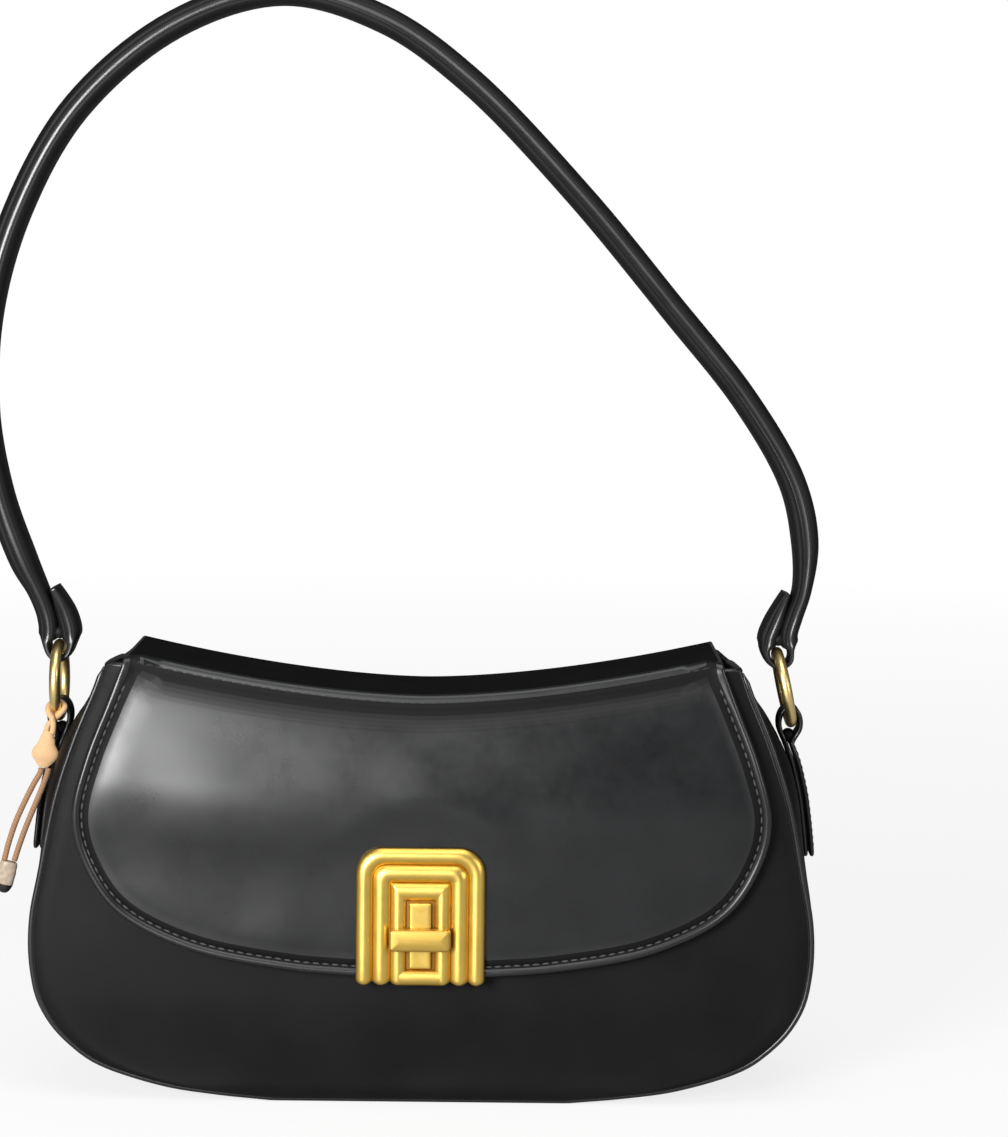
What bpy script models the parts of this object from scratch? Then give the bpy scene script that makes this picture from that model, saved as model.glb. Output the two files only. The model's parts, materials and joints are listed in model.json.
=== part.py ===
"""A small black leather shoulder bag: a tapering body, a full front flap with a ribbed arch
lock and a turn bar, and a rolled strap on two rings.

Metres, +Z up. The front faces -Y, and the origin is the middle of the base, on the floor.
Each piece is one closed solid, built from the named sizes below.
"""

from math import atan, cos, hypot, pi, radians, sin

import bmesh
import bpy
from mathutils import Matrix, Vector

for old in list(bpy.data.objects):
    bpy.data.objects.remove(old, do_unlink=True)

# Gaps between pieces
seat_gap = 0.0003
overrun = 0.004

# Body
panel_half_width = 0.126
panel_height = 0.1413
panel_thick = 0.0024
front_crown = 0.003
back_crown = 0.0015
base_drop = 0.0012
ear_drop = 0.005
base_half_depth = 0.032
top_half_depth = 0.026
gusset_thick = 0.002
side_bulge = 0.0048
board_thick = 0.0016
board_half_length = 0.046
board_half_depth = 0.023
lining_thick = 0.001
lining_slack = 0.0004
lining_corner = 0.006
lining_side_inset = 0.0028
lining_rim_set = 0.001

# Slip pocket on the back wall of the lining
pocket_width = 0.112
pocket_height = 0.056
pocket_depth = 0.0082
pocket_wall = 0.0012
pocket_bottom = 0.054

# Flap
flap_side_set = 0.014
ridge_side_set = 0.030
ridge_rise = 0.002
ridge_dip = 0.013
flap_thick = 0.0016
flap_lining_thick = 0.001
flap_lining_inset = 0.0025
fold_radius = 0.0032
flap_gap_top = 0.0011
flap_gap_low = 0.0034
hinge_drop = 0.0015
yoke_height = 0.020
yoke_side_set = 0.002

# Lock plate: three nested ribs round a window
plate_half_width = 0.0206
plate_half_height = 0.0221
plate_corner = 0.0084
plate_rim = 0.0008
rib_width = 0.0049
rib_pitch = 0.00575
frame_inset = 0.0118
frame_width = 0.0043
frame_head = 0.0009
groove_height = 0.001
rib_height = 0.0026
finger_round = 0.0018
finger_notch = 0.0014
sill_height = 0.0052
least_corner = 0.0004

# Lock boss, turn bar and what holds them
boss_half_width = 0.0034
boss_half_height = 0.0105
boss_height = 0.0023
boss_edge = 0.0005
window_center = -0.006
toggle_half_length = 0.0097
toggle_half_height = 0.0035
toggle_thick = 0.0034
toggle_edge = 0.0008
toggle_center = -0.007
spindle_radius = 0.002
spindle_groove_radius = 0.0014
spindle_head = 0.0004
running_gap = 0.0003
clip_radius = 0.0036
clip_thick = 0.0005
clip_play = 0.0003
backing_thick = 0.0007
backing_half_width = 0.017
backing_bottom = -0.0145
backing_top = 0.0165
screw_x = 0.01298
screw_up = 0.006
screw_radius = 0.001
screw_head_radius = 0.0022
screw_head_thick = 0.0007
screw_reach = 0.0014
magnet_radius = 0.0065
magnet_thick = 0.0012
magnet_up = 0.009
keeper_thick = 0.0013

# Rings, and the leather tabs that hold them
ring_mid_radius = 0.0117
wire_radius = 0.0018
ring_drop = 0.0098
ring_tilt = radians(12)
tab_thick = 0.0015
tab_half_width = 0.006
tab_loop_half_width = 0.0045
tab_standoff = 0.0024
tab_loop_reach = 0.00365
tab_loop_rise = 0.0052
tab_neck_drop = 0.0182
tab_length = 0.0375
ring_seat_play = 0.0007
tab_layer_gap = 0.00045

# Strap
strap_half_span = 0.1204
strap_rise = 0.2241
strap_thick = 0.0088
strap_half_width = 0.007
strap_end_half_width = 0.0055
loop_thick = 0.002

# Swing-tag string on the left ring
loop_string_radius = 0.0008
strand_radius = 0.00095
knot_half_width = 0.0044
knot_half_height = 0.006
knot_half_thick = 0.0025
tip_half_width = 0.003
tip_half_thick = 0.0019
tip_length = 0.0105

# Half outline of a panel, from the flat of the base up to the top corner
outline_shares = (
    (0.381, 0.0), (0.53, 0.0125), (0.663, 0.031), (0.828, 0.079), (0.891, 0.118), (0.943, 0.166),
    (0.979, 0.224), (0.995, 0.289), (1.0, 0.352), (0.995, 0.423), (0.978, 0.501), (0.939, 0.677),
    (0.894, 0.805), (0.841, 0.926), (0.813, 1.0),
)
# How far the gusset swells past the panels, by height
bulge_shares = (
    (0.0, 0.0), (0.25, 0.02), (0.42, 0.18), (0.54, 0.40), (0.68, 0.82), (0.76, 0.97),
    (0.8, 0.88), (0.84, 0.58), (0.88, 0.24), (0.93, 0.08), (1.0, 0.0),
)
# Half outline of the flap's front, from the ridge down to the middle of its lower edge
flap_shares = (
    (0.862, 1.0), (0.906, 0.875), (0.964, 0.70), (1.0, 0.52), (0.976, 0.373), (0.878, 0.202),
    (0.67, 0.079), (0.375, 0.015), (0.2, 0.0),
)
# Middle line of the strap, left to right, as shares of its half span and its rise
strap_shares = (
    (-1.0955, 0.1754), (-1.1595, 0.2735), (-1.1985, 0.3985), (-1.1836, 0.5413), (-1.1063, 0.6841),
    (-0.9468, 0.8336), (-0.6811, 0.9527), (-0.3945, 1.0), (-0.1246, 0.9621), (0.1063, 0.8768),
    (0.407, 0.7126), (0.6537, 0.556), (0.8638, 0.4177), (0.9925, 0.3003), (1.0291, 0.2155),
)
# The strap's folded ends, from the strap round the ring and back up: places as shares of the
# ring's middle radius from its centre, and thickness as a share of the loop leather's
left_end_shares = (
    (-0.581, 2.547, 3.4), (-0.350, 1.949, 3.0), (-0.270, 1.521, 3.0), (-0.330, 1.120, 1.4),
    (-0.239, 0.769, 1.0), (-0.009, 0.594, 1.0), (0.255, 0.752, 1.0), (0.370, 1.094, 1.6),
    (0.330, 1.462, 3.1), (0.210, 1.906, 2.9), (0.020, 2.359, 2.0), (-0.120, 2.641, 1.4),
)
right_end_shares = (
    (0.444, 2.761, 3.1), (0.225, 2.034, 2.8), (0.085, 1.521, 2.8), (0.160, 1.094, 1.2),
    (0.137, 0.761, 1.0), (-0.145, 0.594, 1.0), (-0.450, 0.770, 1.1), (-0.560, 1.094, 1.8),
    (-0.480, 1.436, 3.0), (-0.320, 1.863, 2.9), (-0.140, 2.333, 2.0), (0.010, 2.675, 1.4),
)
# Where the columns of a panel lie across it
column_shares = (-1.0, -0.94, -0.82, -0.62, -0.36, -0.12, 0.12, 0.36, 0.62, 0.82, 0.94, 1.0)
lining_column_shares = (-1.0, -0.78, -0.42, 0.0, 0.42, 0.78, 1.0)
# Where the rows of the gusset lie across its depth, and how much of the bulge each has
gusset_shares = ((-1.0, 0.0), (-0.8, 0.64), (-0.5, 1.0), (0.5, 1.0), (0.8, 0.64), (1.0, 0.0))
# Across one rib: place and height
rib_shares = ((0.0, 0.0), (0.16, 0.72), (0.5, 1.0), (0.84, 0.72), (1.0, 0.0))

# Heights on the body, as shares of its own
flap_bottom_share = 0.3053
plate_height_share = 0.4435

# Derived places
flap_half_width = panel_half_width - flap_side_set
ridge_half_width = panel_half_width - ridge_side_set
yoke_half_width = ridge_half_width - yoke_side_set
body_top = base_drop + panel_height
ridge_height = body_top + ridge_rise
flap_bottom = flap_bottom_share * body_top
plate_center_height = plate_height_share * body_top
hinge_height = ridge_height - ridge_dip - fold_radius - hinge_drop
ring_height = body_top - ring_drop
tab_neck = ring_height - tab_neck_drop
tab_bottom = tab_neck - tab_length
flap_stack = flap_thick + seat_gap + flap_lining_thick
panel_top_drop = body_top - (ridge_height - flap_stack - 2 * seat_gap)
lining_base_inset = gusset_thick + seat_gap + board_thick + seat_gap
hinge_y = top_half_depth + (base_half_depth - top_half_depth) * (1 - hinge_height / body_top)
hinge_y += seat_gap + flap_thick
body_lean = atan((base_half_depth - top_half_depth) / body_top)
backing_level = -(seat_gap + flap_stack + seat_gap)
frame_half_width = plate_half_width - frame_inset
window_half_width = frame_half_width - frame_width


def smoothstep(low, high, value):
    share = min(1, max(0, (value - low) / (high - low)))
    return share * share * (3 - 2 * share)


def smooth(points, steps):
    """Points on a centripetal Catmull-Rom curve through the given points, ends included."""
    rows = [Vector(p) for p in points]
    rows = [2 * rows[0] - rows[1], *rows, 2 * rows[-1] - rows[-2]]
    found = []
    for a, b, c, d in zip(rows, rows[1:], rows[2:], rows[3:]):
        ta = 0
        tb = ta + (b - a).length ** 0.5
        tc = tb + (c - b).length ** 0.5
        td = tc + (d - c).length ** 0.5
        for step in range(steps):
            t = tb + (tc - tb) * step / steps
            ab = a.lerp(b, (t - ta) / (tb - ta))
            bc = b.lerp(c, (t - tb) / (tc - tb))
            cd = c.lerp(d, (t - tc) / (td - tc))
            abc = ab.lerp(bc, (t - ta) / (tc - ta))
            bcd = bc.lerp(cd, (t - tb) / (td - tb))
            found.append(abc.lerp(bcd, (t - tb) / (tc - tb)))
    return found + [rows[-2]]


def table(rows, value):
    """The second column of a table, read between its rows at a value of the first."""
    for (low, a), (high, b) in zip(rows, rows[1:]):
        if value <= high:
            return a + (b - a) * max(0, value - low) / (high - low)
    return rows[-1][1]


outline = [
    Vector((p.x * panel_half_width, base_drop + p.y * panel_height))
    for p in smooth(outline_shares, 2)
]


# Materials


def material(name, color, roughness, metallic=0.0):
    made = bpy.data.materials.new(name)
    made.use_nodes = True
    shader = made.node_tree.nodes["Principled BSDF"]
    shader.inputs["Base Color"].default_value = (*color, 1)
    shader.inputs["Roughness"].default_value = roughness
    shader.inputs["Metallic"].default_value = metallic
    return made


leather = material("black_leather", (0.018, 0.018, 0.02), 0.42)
strap_leather = material("strap_leather", (0.02, 0.02, 0.022), 0.4)
lining_cloth = material("lining_cloth", (0.05, 0.045, 0.042), 0.85)
board = material("board", (0.35, 0.3, 0.25), 0.9)
gold = material("satin_gold", (0.80, 0.56, 0.17), 0.32, 1.0)
ring_gold = material("ring_gold", (0.82, 0.62, 0.28), 0.25, 1.0)
steel = material("plated_steel", (0.62, 0.62, 0.6), 0.35, 1.0)
string = material("tan_string", (0.62, 0.40, 0.22), 0.8)
tip_plastic = material("tip_plastic", (0.75, 0.72, 0.66), 0.5)


# Mesh tools


def finish(name, mesh_tool, surface, frame=None):
    """Turns a bmesh into a named object, shaded smooth with sharp edges."""
    bmesh.ops.recalc_face_normals(mesh_tool, faces=mesh_tool.faces)
    mesh = bpy.data.meshes.new(name)
    mesh_tool.to_mesh(mesh)
    mesh_tool.free()
    mesh.shade_smooth()
    mesh.set_sharp_from_angle(angle=radians(35))
    mesh.materials.append(surface)
    made = bpy.data.objects.new(name, mesh)
    bpy.context.scene.collection.objects.link(made)
    if frame is not None:
        made.matrix_world = frame
    return made


def skin(name, outer, inner, surface, frame=None):
    """A closed sheet between two grids of points with the same rows and columns."""
    tool = bmesh.new()
    grids = [[[tool.verts.new(p) for p in row] for row in grid] for grid in (outer, inner)]
    rows = len(outer)
    columns = len(outer[0])
    for grid in grids:
        for i in range(rows - 1):
            for j in range(columns - 1):
                tool.faces.new((grid[i][j], grid[i][j + 1], grid[i + 1][j + 1], grid[i + 1][j]))
    rim = [(i, 0) for i in range(rows)] + [(rows - 1, j) for j in range(1, columns)]
    rim += [(i, columns - 1) for i in range(rows - 2, -1, -1)] + [(0, j) for j in range(columns - 2, 0, -1)]
    for (i, j), (k, m) in zip(rim, rim[1:] + rim[:1]):
        tool.faces.new((grids[0][i][j], grids[0][k][m], grids[1][k][m], grids[1][i][j]))
    return finish(name, tool, surface, frame)


def tube(name, loops, surface, frame=None):
    """A closed solid through a stack of loops, with both ends filled."""
    tool = bmesh.new()
    rings = [[tool.verts.new(p) for p in loop] for loop in loops]
    for low, high in zip(rings, rings[1:]):
        for j in range(len(low)):
            k = (j + 1) % len(low)
            tool.faces.new((low[j], low[k], high[k], high[j]))
    tool.faces.new(rings[0])
    tool.faces.new(rings[-1])
    return finish(name, tool, surface, frame)


def block(name, low, high, surface, frame=None, edge=0, segments=1):
    """A box between two corners, with its edges rounded."""
    tool = bmesh.new()
    bmesh.ops.create_cube(tool, size=1)
    low = Vector(low)
    high = Vector(high)
    for vert in tool.verts:
        vert.co = Vector(low[i] + (high[i] - low[i]) * (vert.co[i] + 0.5) for i in range(3))
    if edge:
        bmesh.ops.bevel(tool, geom=tool.edges[:], offset=edge, segments=segments, affect="EDGES", profile=0.5)
    return finish(name, tool, surface, frame)


def lathe(name, profile, surface, frame=None, sides=24):
    """A turned solid round local Z, from (radius, height) points that start and end on the axis."""
    tool = bmesh.new()
    rings = []
    for radius, height in profile:
        if radius:
            turns = [2 * pi * k / sides for k in range(sides)]
            rings.append([tool.verts.new((radius * cos(a), radius * sin(a), height)) for a in turns])
        else:
            rings.append([tool.verts.new((0, 0, height))])
    for low, high in zip(rings, rings[1:]):
        for j in range(sides):
            k = (j + 1) % sides
            corners = [low[j % len(low)], low[k % len(low)], high[k % len(high)], high[j % len(high)]]
            tool.faces.new(list(dict.fromkeys(corners)))
    return finish(name, tool, surface, frame)


def cut(target, cutter, operation="DIFFERENCE"):
    """Cuts or joins a hidden solid into a piece."""
    cutter.hide_render = True
    cutter.display_type = "WIRE"
    change = target.modifiers.new(cutter.name, "BOOLEAN")
    change.operation = operation
    change.object = cutter


def hang(pieces, name, place):
    """Parents pieces to an empty on their joint's axis, where they are."""
    pivot = bpy.data.objects.new(name, None)
    pivot.location = place
    bpy.context.scene.collection.objects.link(pivot)
    for piece in pieces:
        piece.parent = pivot
        piece.matrix_parent_inverse = Matrix.Translation(place).inverted()


def sweep(name, stations, surface, sides=10):
    """A flat strip along a path in the XZ plane: (x, z, half thickness, half width) at each station."""
    loops = []
    last = len(stations) - 1
    for i, (x, z, half_thick, half_width) in enumerate(stations):
        before = stations[max(0, i - 1)]
        after = stations[min(last, i + 1)]
        run = Vector((after[0] - before[0], 0, after[1] - before[1])).normalized()
        side = Vector((run.z, 0, -run.x))
        loop = []
        for k in range(sides):
            turn = 2 * pi * (k + 0.5) / sides
            across = round_share(cos(turn)) * half_thick
            along = round_share(sin(turn)) * half_width
            loop.append(Vector((x, 0, z)) + side * across + Vector((0, along, 0)))
        loops.append(loop)
    return tube(name, loops, surface)


def round_share(value):
    """Turns a circle's share into that of a rounded rectangle."""
    return (abs(value) ** 0.55) * (1 if value > 0 else -1)


# Body surfaces


def half_depth(z):
    """Half the body's depth at a height, to the outer faces of the panels."""
    return base_half_depth + (top_half_depth - base_half_depth) * z / body_top


def width_at(z):
    """Half the body's width at a height, along the panels' outline."""
    return table([(p.y, p.x) for p in outline], z)


def crown(x, z, size):
    """How far a panel swells at a place."""
    height_share = z / body_top
    hump = smoothstep(0.02, 0.25, height_share) * (1 - smoothstep(0.6, 0.88, height_share))
    across = min(1, abs(x) / width_at(z))
    return size * (1 - across * across) * hump


def bulge(z):
    """How far the gusset stands out past the panels at a height."""
    return base_drop + (side_bulge - base_drop) * table(bulge_shares, (z - base_drop) / panel_height)


def dip(x):
    """How far the top line lies below its ends."""
    return ridge_dip * (1 - min(1, abs(x) / ridge_half_width) ** 1.7)


def top_drop(x):
    """How far a panel's top edge lies below its corners, to clear the flap."""
    corner = outline[-1].x
    return dip(x) + panel_top_drop * smoothstep(corner, ridge_half_width, abs(x))


def ear(x, height):
    """How far the top corners round off, past the flap's ends."""
    return ear_drop * smoothstep(ridge_half_width, outline[-1].x, abs(x)) * smoothstep(0.85, 1, height / body_top)


def panel_point(row, share, side, depth, size):
    x = share * row.x
    z = row.y - top_drop(x) * smoothstep(0.6, 1, row.y / body_top) - ear(x, row.y)
    return Vector((x, side * (half_depth(z) + crown(x, z, size) - depth), z))


def panel(name, side, size):
    grids = [
        [[panel_point(row, share, side, depth, size) for share in column_shares] for row in outline]
        for depth in (0, panel_thick)
    ]
    return skin(name, *grids, leather)


def outward(path, i):
    """The normal of a path that runs left, base, right, pointing out of the bag."""
    run = (path[min(i + 1, len(path) - 1)] - path[max(i - 1, 0)]).normalized()
    return Vector((run.y, -run.x))


def find_side_face():
    """The gusset's outer face at the middle of its depth, as (height, half width) rows."""
    spots = [place + outward(outline, i) * bulge(place.y) for i, place in enumerate(outline)]
    return [(spot.y, spot.x) for spot in spots]


side_face = find_side_face()
tab_loop_x = table(side_face, tab_neck) + tab_standoff
ring_left_x = -tab_loop_x - ring_seat_play
ring_right_x = tab_loop_x + ring_seat_play - ring_mid_radius * sin(ring_tilt)


# Body pieces


def build_gusset():
    path = [Vector((-p.x, p.y)) for p in reversed(outline)] + outline
    grids = ([], [])
    for i, place in enumerate(path):
        normal = outward(path, i)
        reach = half_depth(place.y) - panel_thick - seat_gap
        for grid, depth in zip(grids, (0, gusset_thick)):
            row = []
            for share, swell_share in gusset_shares:
                spot = place + normal * (bulge(place.y) * swell_share - depth)
                row.append(Vector((spot.x, share * reach, spot.y - ear(place.x, place.y))))
            grid.append(row)
    return skin("gusset", *grids, leather)


def lining_loop(row, inset, shrink):
    """One level of the lining: a rounded rectangle whose long sides dip at the top."""
    half_x = row.x - inset - shrink
    half_y = half_depth(row.y) - panel_thick - lining_slack - shrink
    corner = lining_corner - shrink
    flat_x = half_x - corner
    flat_y = half_y - corner
    places = [(share * flat_x, -half_y) for share in lining_column_shares]
    places += [(flat_x + corner * sin(a), -flat_y - corner * cos(a)) for a in (0.52, 1.05)]
    places += [(half_x, -flat_y), (half_x, flat_y)]
    places += [(flat_x + corner * cos(a), flat_y + corner * sin(a)) for a in (0.52, 1.05)]
    places += [(share * flat_x, half_y) for share in lining_column_shares[::-1]]
    places += [(-flat_x - corner * sin(a), flat_y + corner * cos(a)) for a in (0.52, 1.05)]
    places += [(-half_x, flat_y), (-half_x, -flat_y)]
    places += [(-flat_x - corner * cos(a), -flat_y - corner * sin(a)) for a in (0.52, 1.05)]
    rise = smoothstep(0.6, 1, row.y / body_top)
    return [
        Vector((x, y, row.y - (top_drop(x) + lining_rim_set) * rise - ear(abs(x) + lining_side_inset, row.y)))
        for x, y in places
    ]


def build_lining():
    floor = base_drop + lining_base_inset
    levels = []
    for i, place in enumerate(outline[::2]):
        inset_share = 1 - smoothstep(0, 0.2, place.y / body_top)
        inset = lining_side_inset + (lining_base_inset - lining_side_inset) * inset_share
        height = floor + (place.y - base_drop) * (body_top - floor) / panel_height
        levels.append((Vector((place.x, height)), inset))
    outer = [lining_loop(row, inset, 0) for row, inset in levels]
    lift = Vector((0, lining_thick))
    inner = [lining_loop(row + lift * (1 - smoothstep(0.1, 0.9, row.y / body_top)), inset, lining_thick)
             for row, inset in levels]
    return tube("lining", outer + inner[::-1], lining_cloth)


def build_pocket():
    back = half_depth(pocket_bottom) - panel_thick - lining_slack - lining_thick - seat_gap
    frame = Matrix.Translation((0, back, pocket_bottom)) @ Matrix.Rotation(body_lean, 4, "X")
    half = pocket_width / 2
    pocket = block("slip_pocket", (-half, -pocket_depth, 0), (half, 0, pocket_height), lining_cloth, frame)
    inner = half - pocket_wall
    low = (-inner, pocket_wall - pocket_depth, pocket_wall)
    high = (inner, overrun, pocket_height + overrun)
    cut(pocket, block("pocket_space", low, high, lining_cloth, frame))
    return pocket


def build_yoke():
    grids = ([], [])
    for height_share in (0, 0.15, 0.5, 1):
        z = hinge_height - seat_gap - yoke_height * (1 - height_share)
        half = yoke_half_width * (0.93 + 0.07 * smoothstep(0, 0.5, height_share))
        for grid, depth in zip(grids, (flap_thick, 0)):
            row = []
            for share in column_shares:
                x = share * half
                row.append(Vector((x, half_depth(z) + crown(x, z, back_crown) + seat_gap + depth, z)))
            grid.append(row)
    return skin("back_yoke", *grids, leather)


def build_board():
    floor = base_drop + gusset_thick + seat_gap
    low = (-board_half_length, -board_half_depth, floor)
    high = (board_half_length, board_half_depth, floor + board_thick)
    return block("base_board", low, high, board, edge=board_thick / 4)


panel("front_panel", -1, front_crown)
panel("back_panel", 1, back_crown)
build_gusset()
build_board()
build_lining()
build_pocket()
build_yoke()


# Flap: from the hinge line up the back, over the top and down the front


def flap_face(x, z):
    """Distance of the flap's outer front face from the middle of the bag."""
    share = (z - flap_bottom) / (ridge_height - flap_bottom)
    gap = flap_gap_low + (flap_gap_top - flap_gap_low) * smoothstep(0.45, 1, share)
    return half_depth(z) + crown(x, z, front_crown) + gap + flap_stack


def flap_column(share, depth, edge, with_back):
    """The points down one column of the flap, at a depth under its outer face."""
    x = share * (ridge_half_width - edge)
    top = ridge_height - dip(x)
    bend = fold_radius - depth
    quarter = [pi / 2 * k / 3 for k in range(4)]
    points = []
    if with_back:
        points.append(Vector((x, hinge_y - depth, hinge_height)))
        for a in quarter[:-1]:
            points.append(Vector((x, hinge_y - fold_radius + bend * cos(a), top - fold_radius + bend * sin(a))))
    back = hinge_y - fold_radius
    front = fold_radius - flap_face(x, top - fold_radius)
    for k in range(4):
        points.append(Vector((x, back + (front - back) * k / 3, top - depth)))
    for a in quarter[1:-1]:
        points.append(Vector((x, front - bend * sin(a), top - fold_radius + bend * cos(a))))
    for place in smooth(flap_shares, 2):
        x = share * (place.x * flap_half_width - edge)
        start = ridge_height - fold_radius
        z = flap_bottom + edge + place.y * (start - flap_bottom - edge)
        z -= dip(x) * smoothstep(0.5, 1, place.y)
        points.append(Vector((x, depth - flap_face(x, z), z)))
    return points


def flap_sheet(name, near, far, edge, with_back, surface):
    grids = []
    for depth in (near, far):
        columns = [flap_column(share, depth, edge, with_back) for share in column_shares]
        grids.append([list(row) for row in zip(*columns)])
    return skin(name, *grids, surface)


flap = flap_sheet("flap", 0, flap_thick, 0, True, leather)
flap_lining = flap_sheet(
    "flap_lining", flap_thick + seat_gap, flap_stack, flap_lining_inset, False, lining_cloth
)


# Lock: its frame stands on the flap's face, with local X to the right, Y up and Z out

lock_place = Vector((0, -flap_face(0, plate_center_height), plate_center_height))
lock_frame = Matrix.Translation(lock_place) @ Matrix.Rotation(pi / 2 - body_lean, 4, "X")
lock_frame = lock_frame @ Matrix.Translation((0, 0, seat_gap))


def rib_heights():
    """Place from the plate's edge, height and crest share, across the three nested ribs."""
    rows = []
    for start, width in ((0, rib_width), (rib_pitch, rib_width), (frame_inset, frame_width)):
        for place_share, height_share in rib_shares:
            floor = plate_rim if start + place_share == 0 else groove_height
            rows.append((start + place_share * width, floor + (rib_height - floor) * height_share, height_share))
    return rows


def arch(inset, crest_share):
    """One inset arch of the plate, from its left foot over the top to its right foot."""
    half = plate_half_width - inset
    head_share = min(1, max(0, (inset - frame_inset) / frame_width))
    top = plate_half_height - inset - frame_head * head_share
    corner = max(plate_corner * (1 - inset / frame_inset), least_corner)
    foot = -plate_half_height + finger_notch * (1 - crest_share)
    left = [(-half, foot), (-half, foot + finger_round * 0.35), (-half, foot + finger_round)]
    for k in range(5):
        a = pi / 2 * k / 4
        left.append((-half + corner * (1 - cos(a)), top - corner * (1 - sin(a))))
    return left + [(-x, y) for x, y in reversed(left)]


def build_plate():
    end_shares = (0.0, 0.7, 1.0)
    face = []
    back = []
    for inset, height, crest_share in rib_heights():
        row = []
        places = arch(inset, crest_share)
        for i, (x, y) in enumerate(places):
            from_end = min(i, len(places) - 1 - i)
            fall_share = end_shares[min(from_end, 2)]
            row.append(Vector((x, y, plate_rim + (height - plate_rim) * fall_share)))
        face.append(row)
        back.append([Vector((x, y, 0)) for x, y in places])
    plate = skin("lock_plate", face, back, gold, lock_frame)
    cut(plate, build_sill(), "UNION")
    for side in (-1, 1):
        frame = lock_frame @ Matrix.Translation((side * screw_x, screw_up, 0))
        hole = [(0, -overrun), (screw_radius + running_gap, -overrun)]
        hole += [(screw_radius + running_gap, screw_reach + running_gap), (0, screw_reach + running_gap)]
        cut(plate, lathe(f"blind_hole_{side}", hole, gold, frame, 12))
    return plate


def build_sill():
    """The rib that closes the window's frame along its foot."""
    reach = frame_half_width - frame_width / 2
    loops = []
    for x in (-reach, reach):
        loop = [Vector((x, -plate_half_height, 0))]
        for place_share, height_share in rib_shares:
            floor = plate_rim if place_share == 0 else groove_height
            height = floor + (rib_height - floor) * height_share
            loop.append(Vector((x, -plate_half_height + place_share * sill_height, height)))
        loop.append(Vector((x, -plate_half_height + sill_height, 0)))
        loops.append(loop)
    return tube("sill", loops, gold, lock_frame)


def lock_hole(name, x, y, radius, targets):
    """Cuts one round hole through pieces of the lock's stack."""
    frame = lock_frame @ Matrix.Translation((x, y, 0))
    reach = overrun - backing_level + backing_thick
    profile = [(0, -reach), (radius, -reach), (radius, reach), (0, reach)]
    cutter = lathe(name, profile, gold, frame, 16)
    for target in targets:
        cut(target, cutter)


build_plate()
boss = block(
    "lock_boss",
    (-boss_half_width, window_center - boss_half_height, 0),
    (boss_half_width, window_center + boss_half_height, boss_height),
    gold, lock_frame, boss_edge,
)
backing_low = (-backing_half_width, backing_bottom, backing_level - backing_thick)
backing_high = (backing_half_width, backing_top, backing_level)
backing = block("lock_backing", backing_low, backing_high, steel, lock_frame)
lock_hole("spindle_hole", 0, toggle_center, spindle_radius + running_gap, (flap, flap_lining, boss, backing))
behind = backing_level - backing_thick - seat_gap

for side, label in ((-1, "left"), (1, "right")):
    lock_hole(f"screw_hole_{label}", side * screw_x, screw_up, screw_radius + running_gap,
              (flap, flap_lining, backing))
    screw_frame = lock_frame @ Matrix.Translation((side * screw_x, screw_up, 0))
    screw = [(0, behind - screw_head_thick), (screw_head_radius, behind - screw_head_thick),
             (screw_head_radius, behind), (screw_radius, behind), (screw_radius, screw_reach), (0, screw_reach)]
    lathe(f"plate_screw_{label}", screw, steel, screw_frame, 16)

magnet_frame = lock_frame @ Matrix.Translation((0, magnet_up, behind - magnet_thick))
magnet = [(0, 0), (magnet_radius, 0), (magnet_radius, magnet_thick), (0, magnet_thick)]
lathe("magnet_disc", magnet, steel, magnet_frame)

keeper_height = plate_center_height + magnet_up
keeper_face = half_depth(keeper_height) + crown(0, keeper_height, front_crown) - panel_thick - seat_gap
keeper_frame = Matrix.Translation((0, -keeper_face, keeper_height)) @ Matrix.Rotation(-pi / 2 - body_lean, 4, "X")
keeper = [(0, seat_gap), (magnet_radius, seat_gap), (magnet_radius, seat_gap + keeper_thick), (0, seat_gap + keeper_thick)]
lathe("magnet_keeper", keeper, steel, keeper_frame)

# Turn bar, with its spindle and the clip behind the backing plate
toggle_frame = lock_frame @ Matrix.Translation((0, toggle_center, 0))
toggle_foot = boss_height + seat_gap
toggle = block(
    "toggle_bar",
    (-toggle_half_length, -toggle_half_height, toggle_foot),
    (toggle_half_length, toggle_half_height, toggle_foot + toggle_thick),
    gold, toggle_frame, toggle_edge, 2,
)
groove_start = backing_level - backing_thick - clip_play
groove_end = groove_start - clip_thick - 2 * clip_play
stem = [
    (0, groove_end - spindle_head), (spindle_radius, groove_end - spindle_head), (spindle_radius, groove_end),
    (spindle_groove_radius, groove_end), (spindle_groove_radius, groove_start), (spindle_radius, groove_start),
    (spindle_radius, toggle_foot + toggle_thick / 2), (0, toggle_foot + toggle_thick / 2),
]
cut(toggle, lathe("spindle", stem, gold, toggle_frame, 16), "UNION")
clip_low = groove_end + clip_play
clip = lathe(
    "toggle_clip", [(0, clip_low), (clip_radius, clip_low), (clip_radius, clip_low + clip_thick),
                    (0, clip_low + clip_thick)], steel, toggle_frame, 16,
)
clip_bore = spindle_groove_radius + running_gap
cut(clip, lathe("clip_bore", [(0, groove_end), (clip_bore, groove_end), (clip_bore, groove_start),
                              (0, groove_start)], steel, toggle_frame, 16))

hinge_place = Vector((0, hinge_y, hinge_height))
flap_names = ("flap", "flap_lining", "lock_plate", "lock_boss", "lock_backing", "magnet_disc",
              "plate_screw_left", "plate_screw_right")
hang([bpy.data.objects[name] for name in flap_names], "flap_hinge", hinge_place)


# Rings


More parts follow.
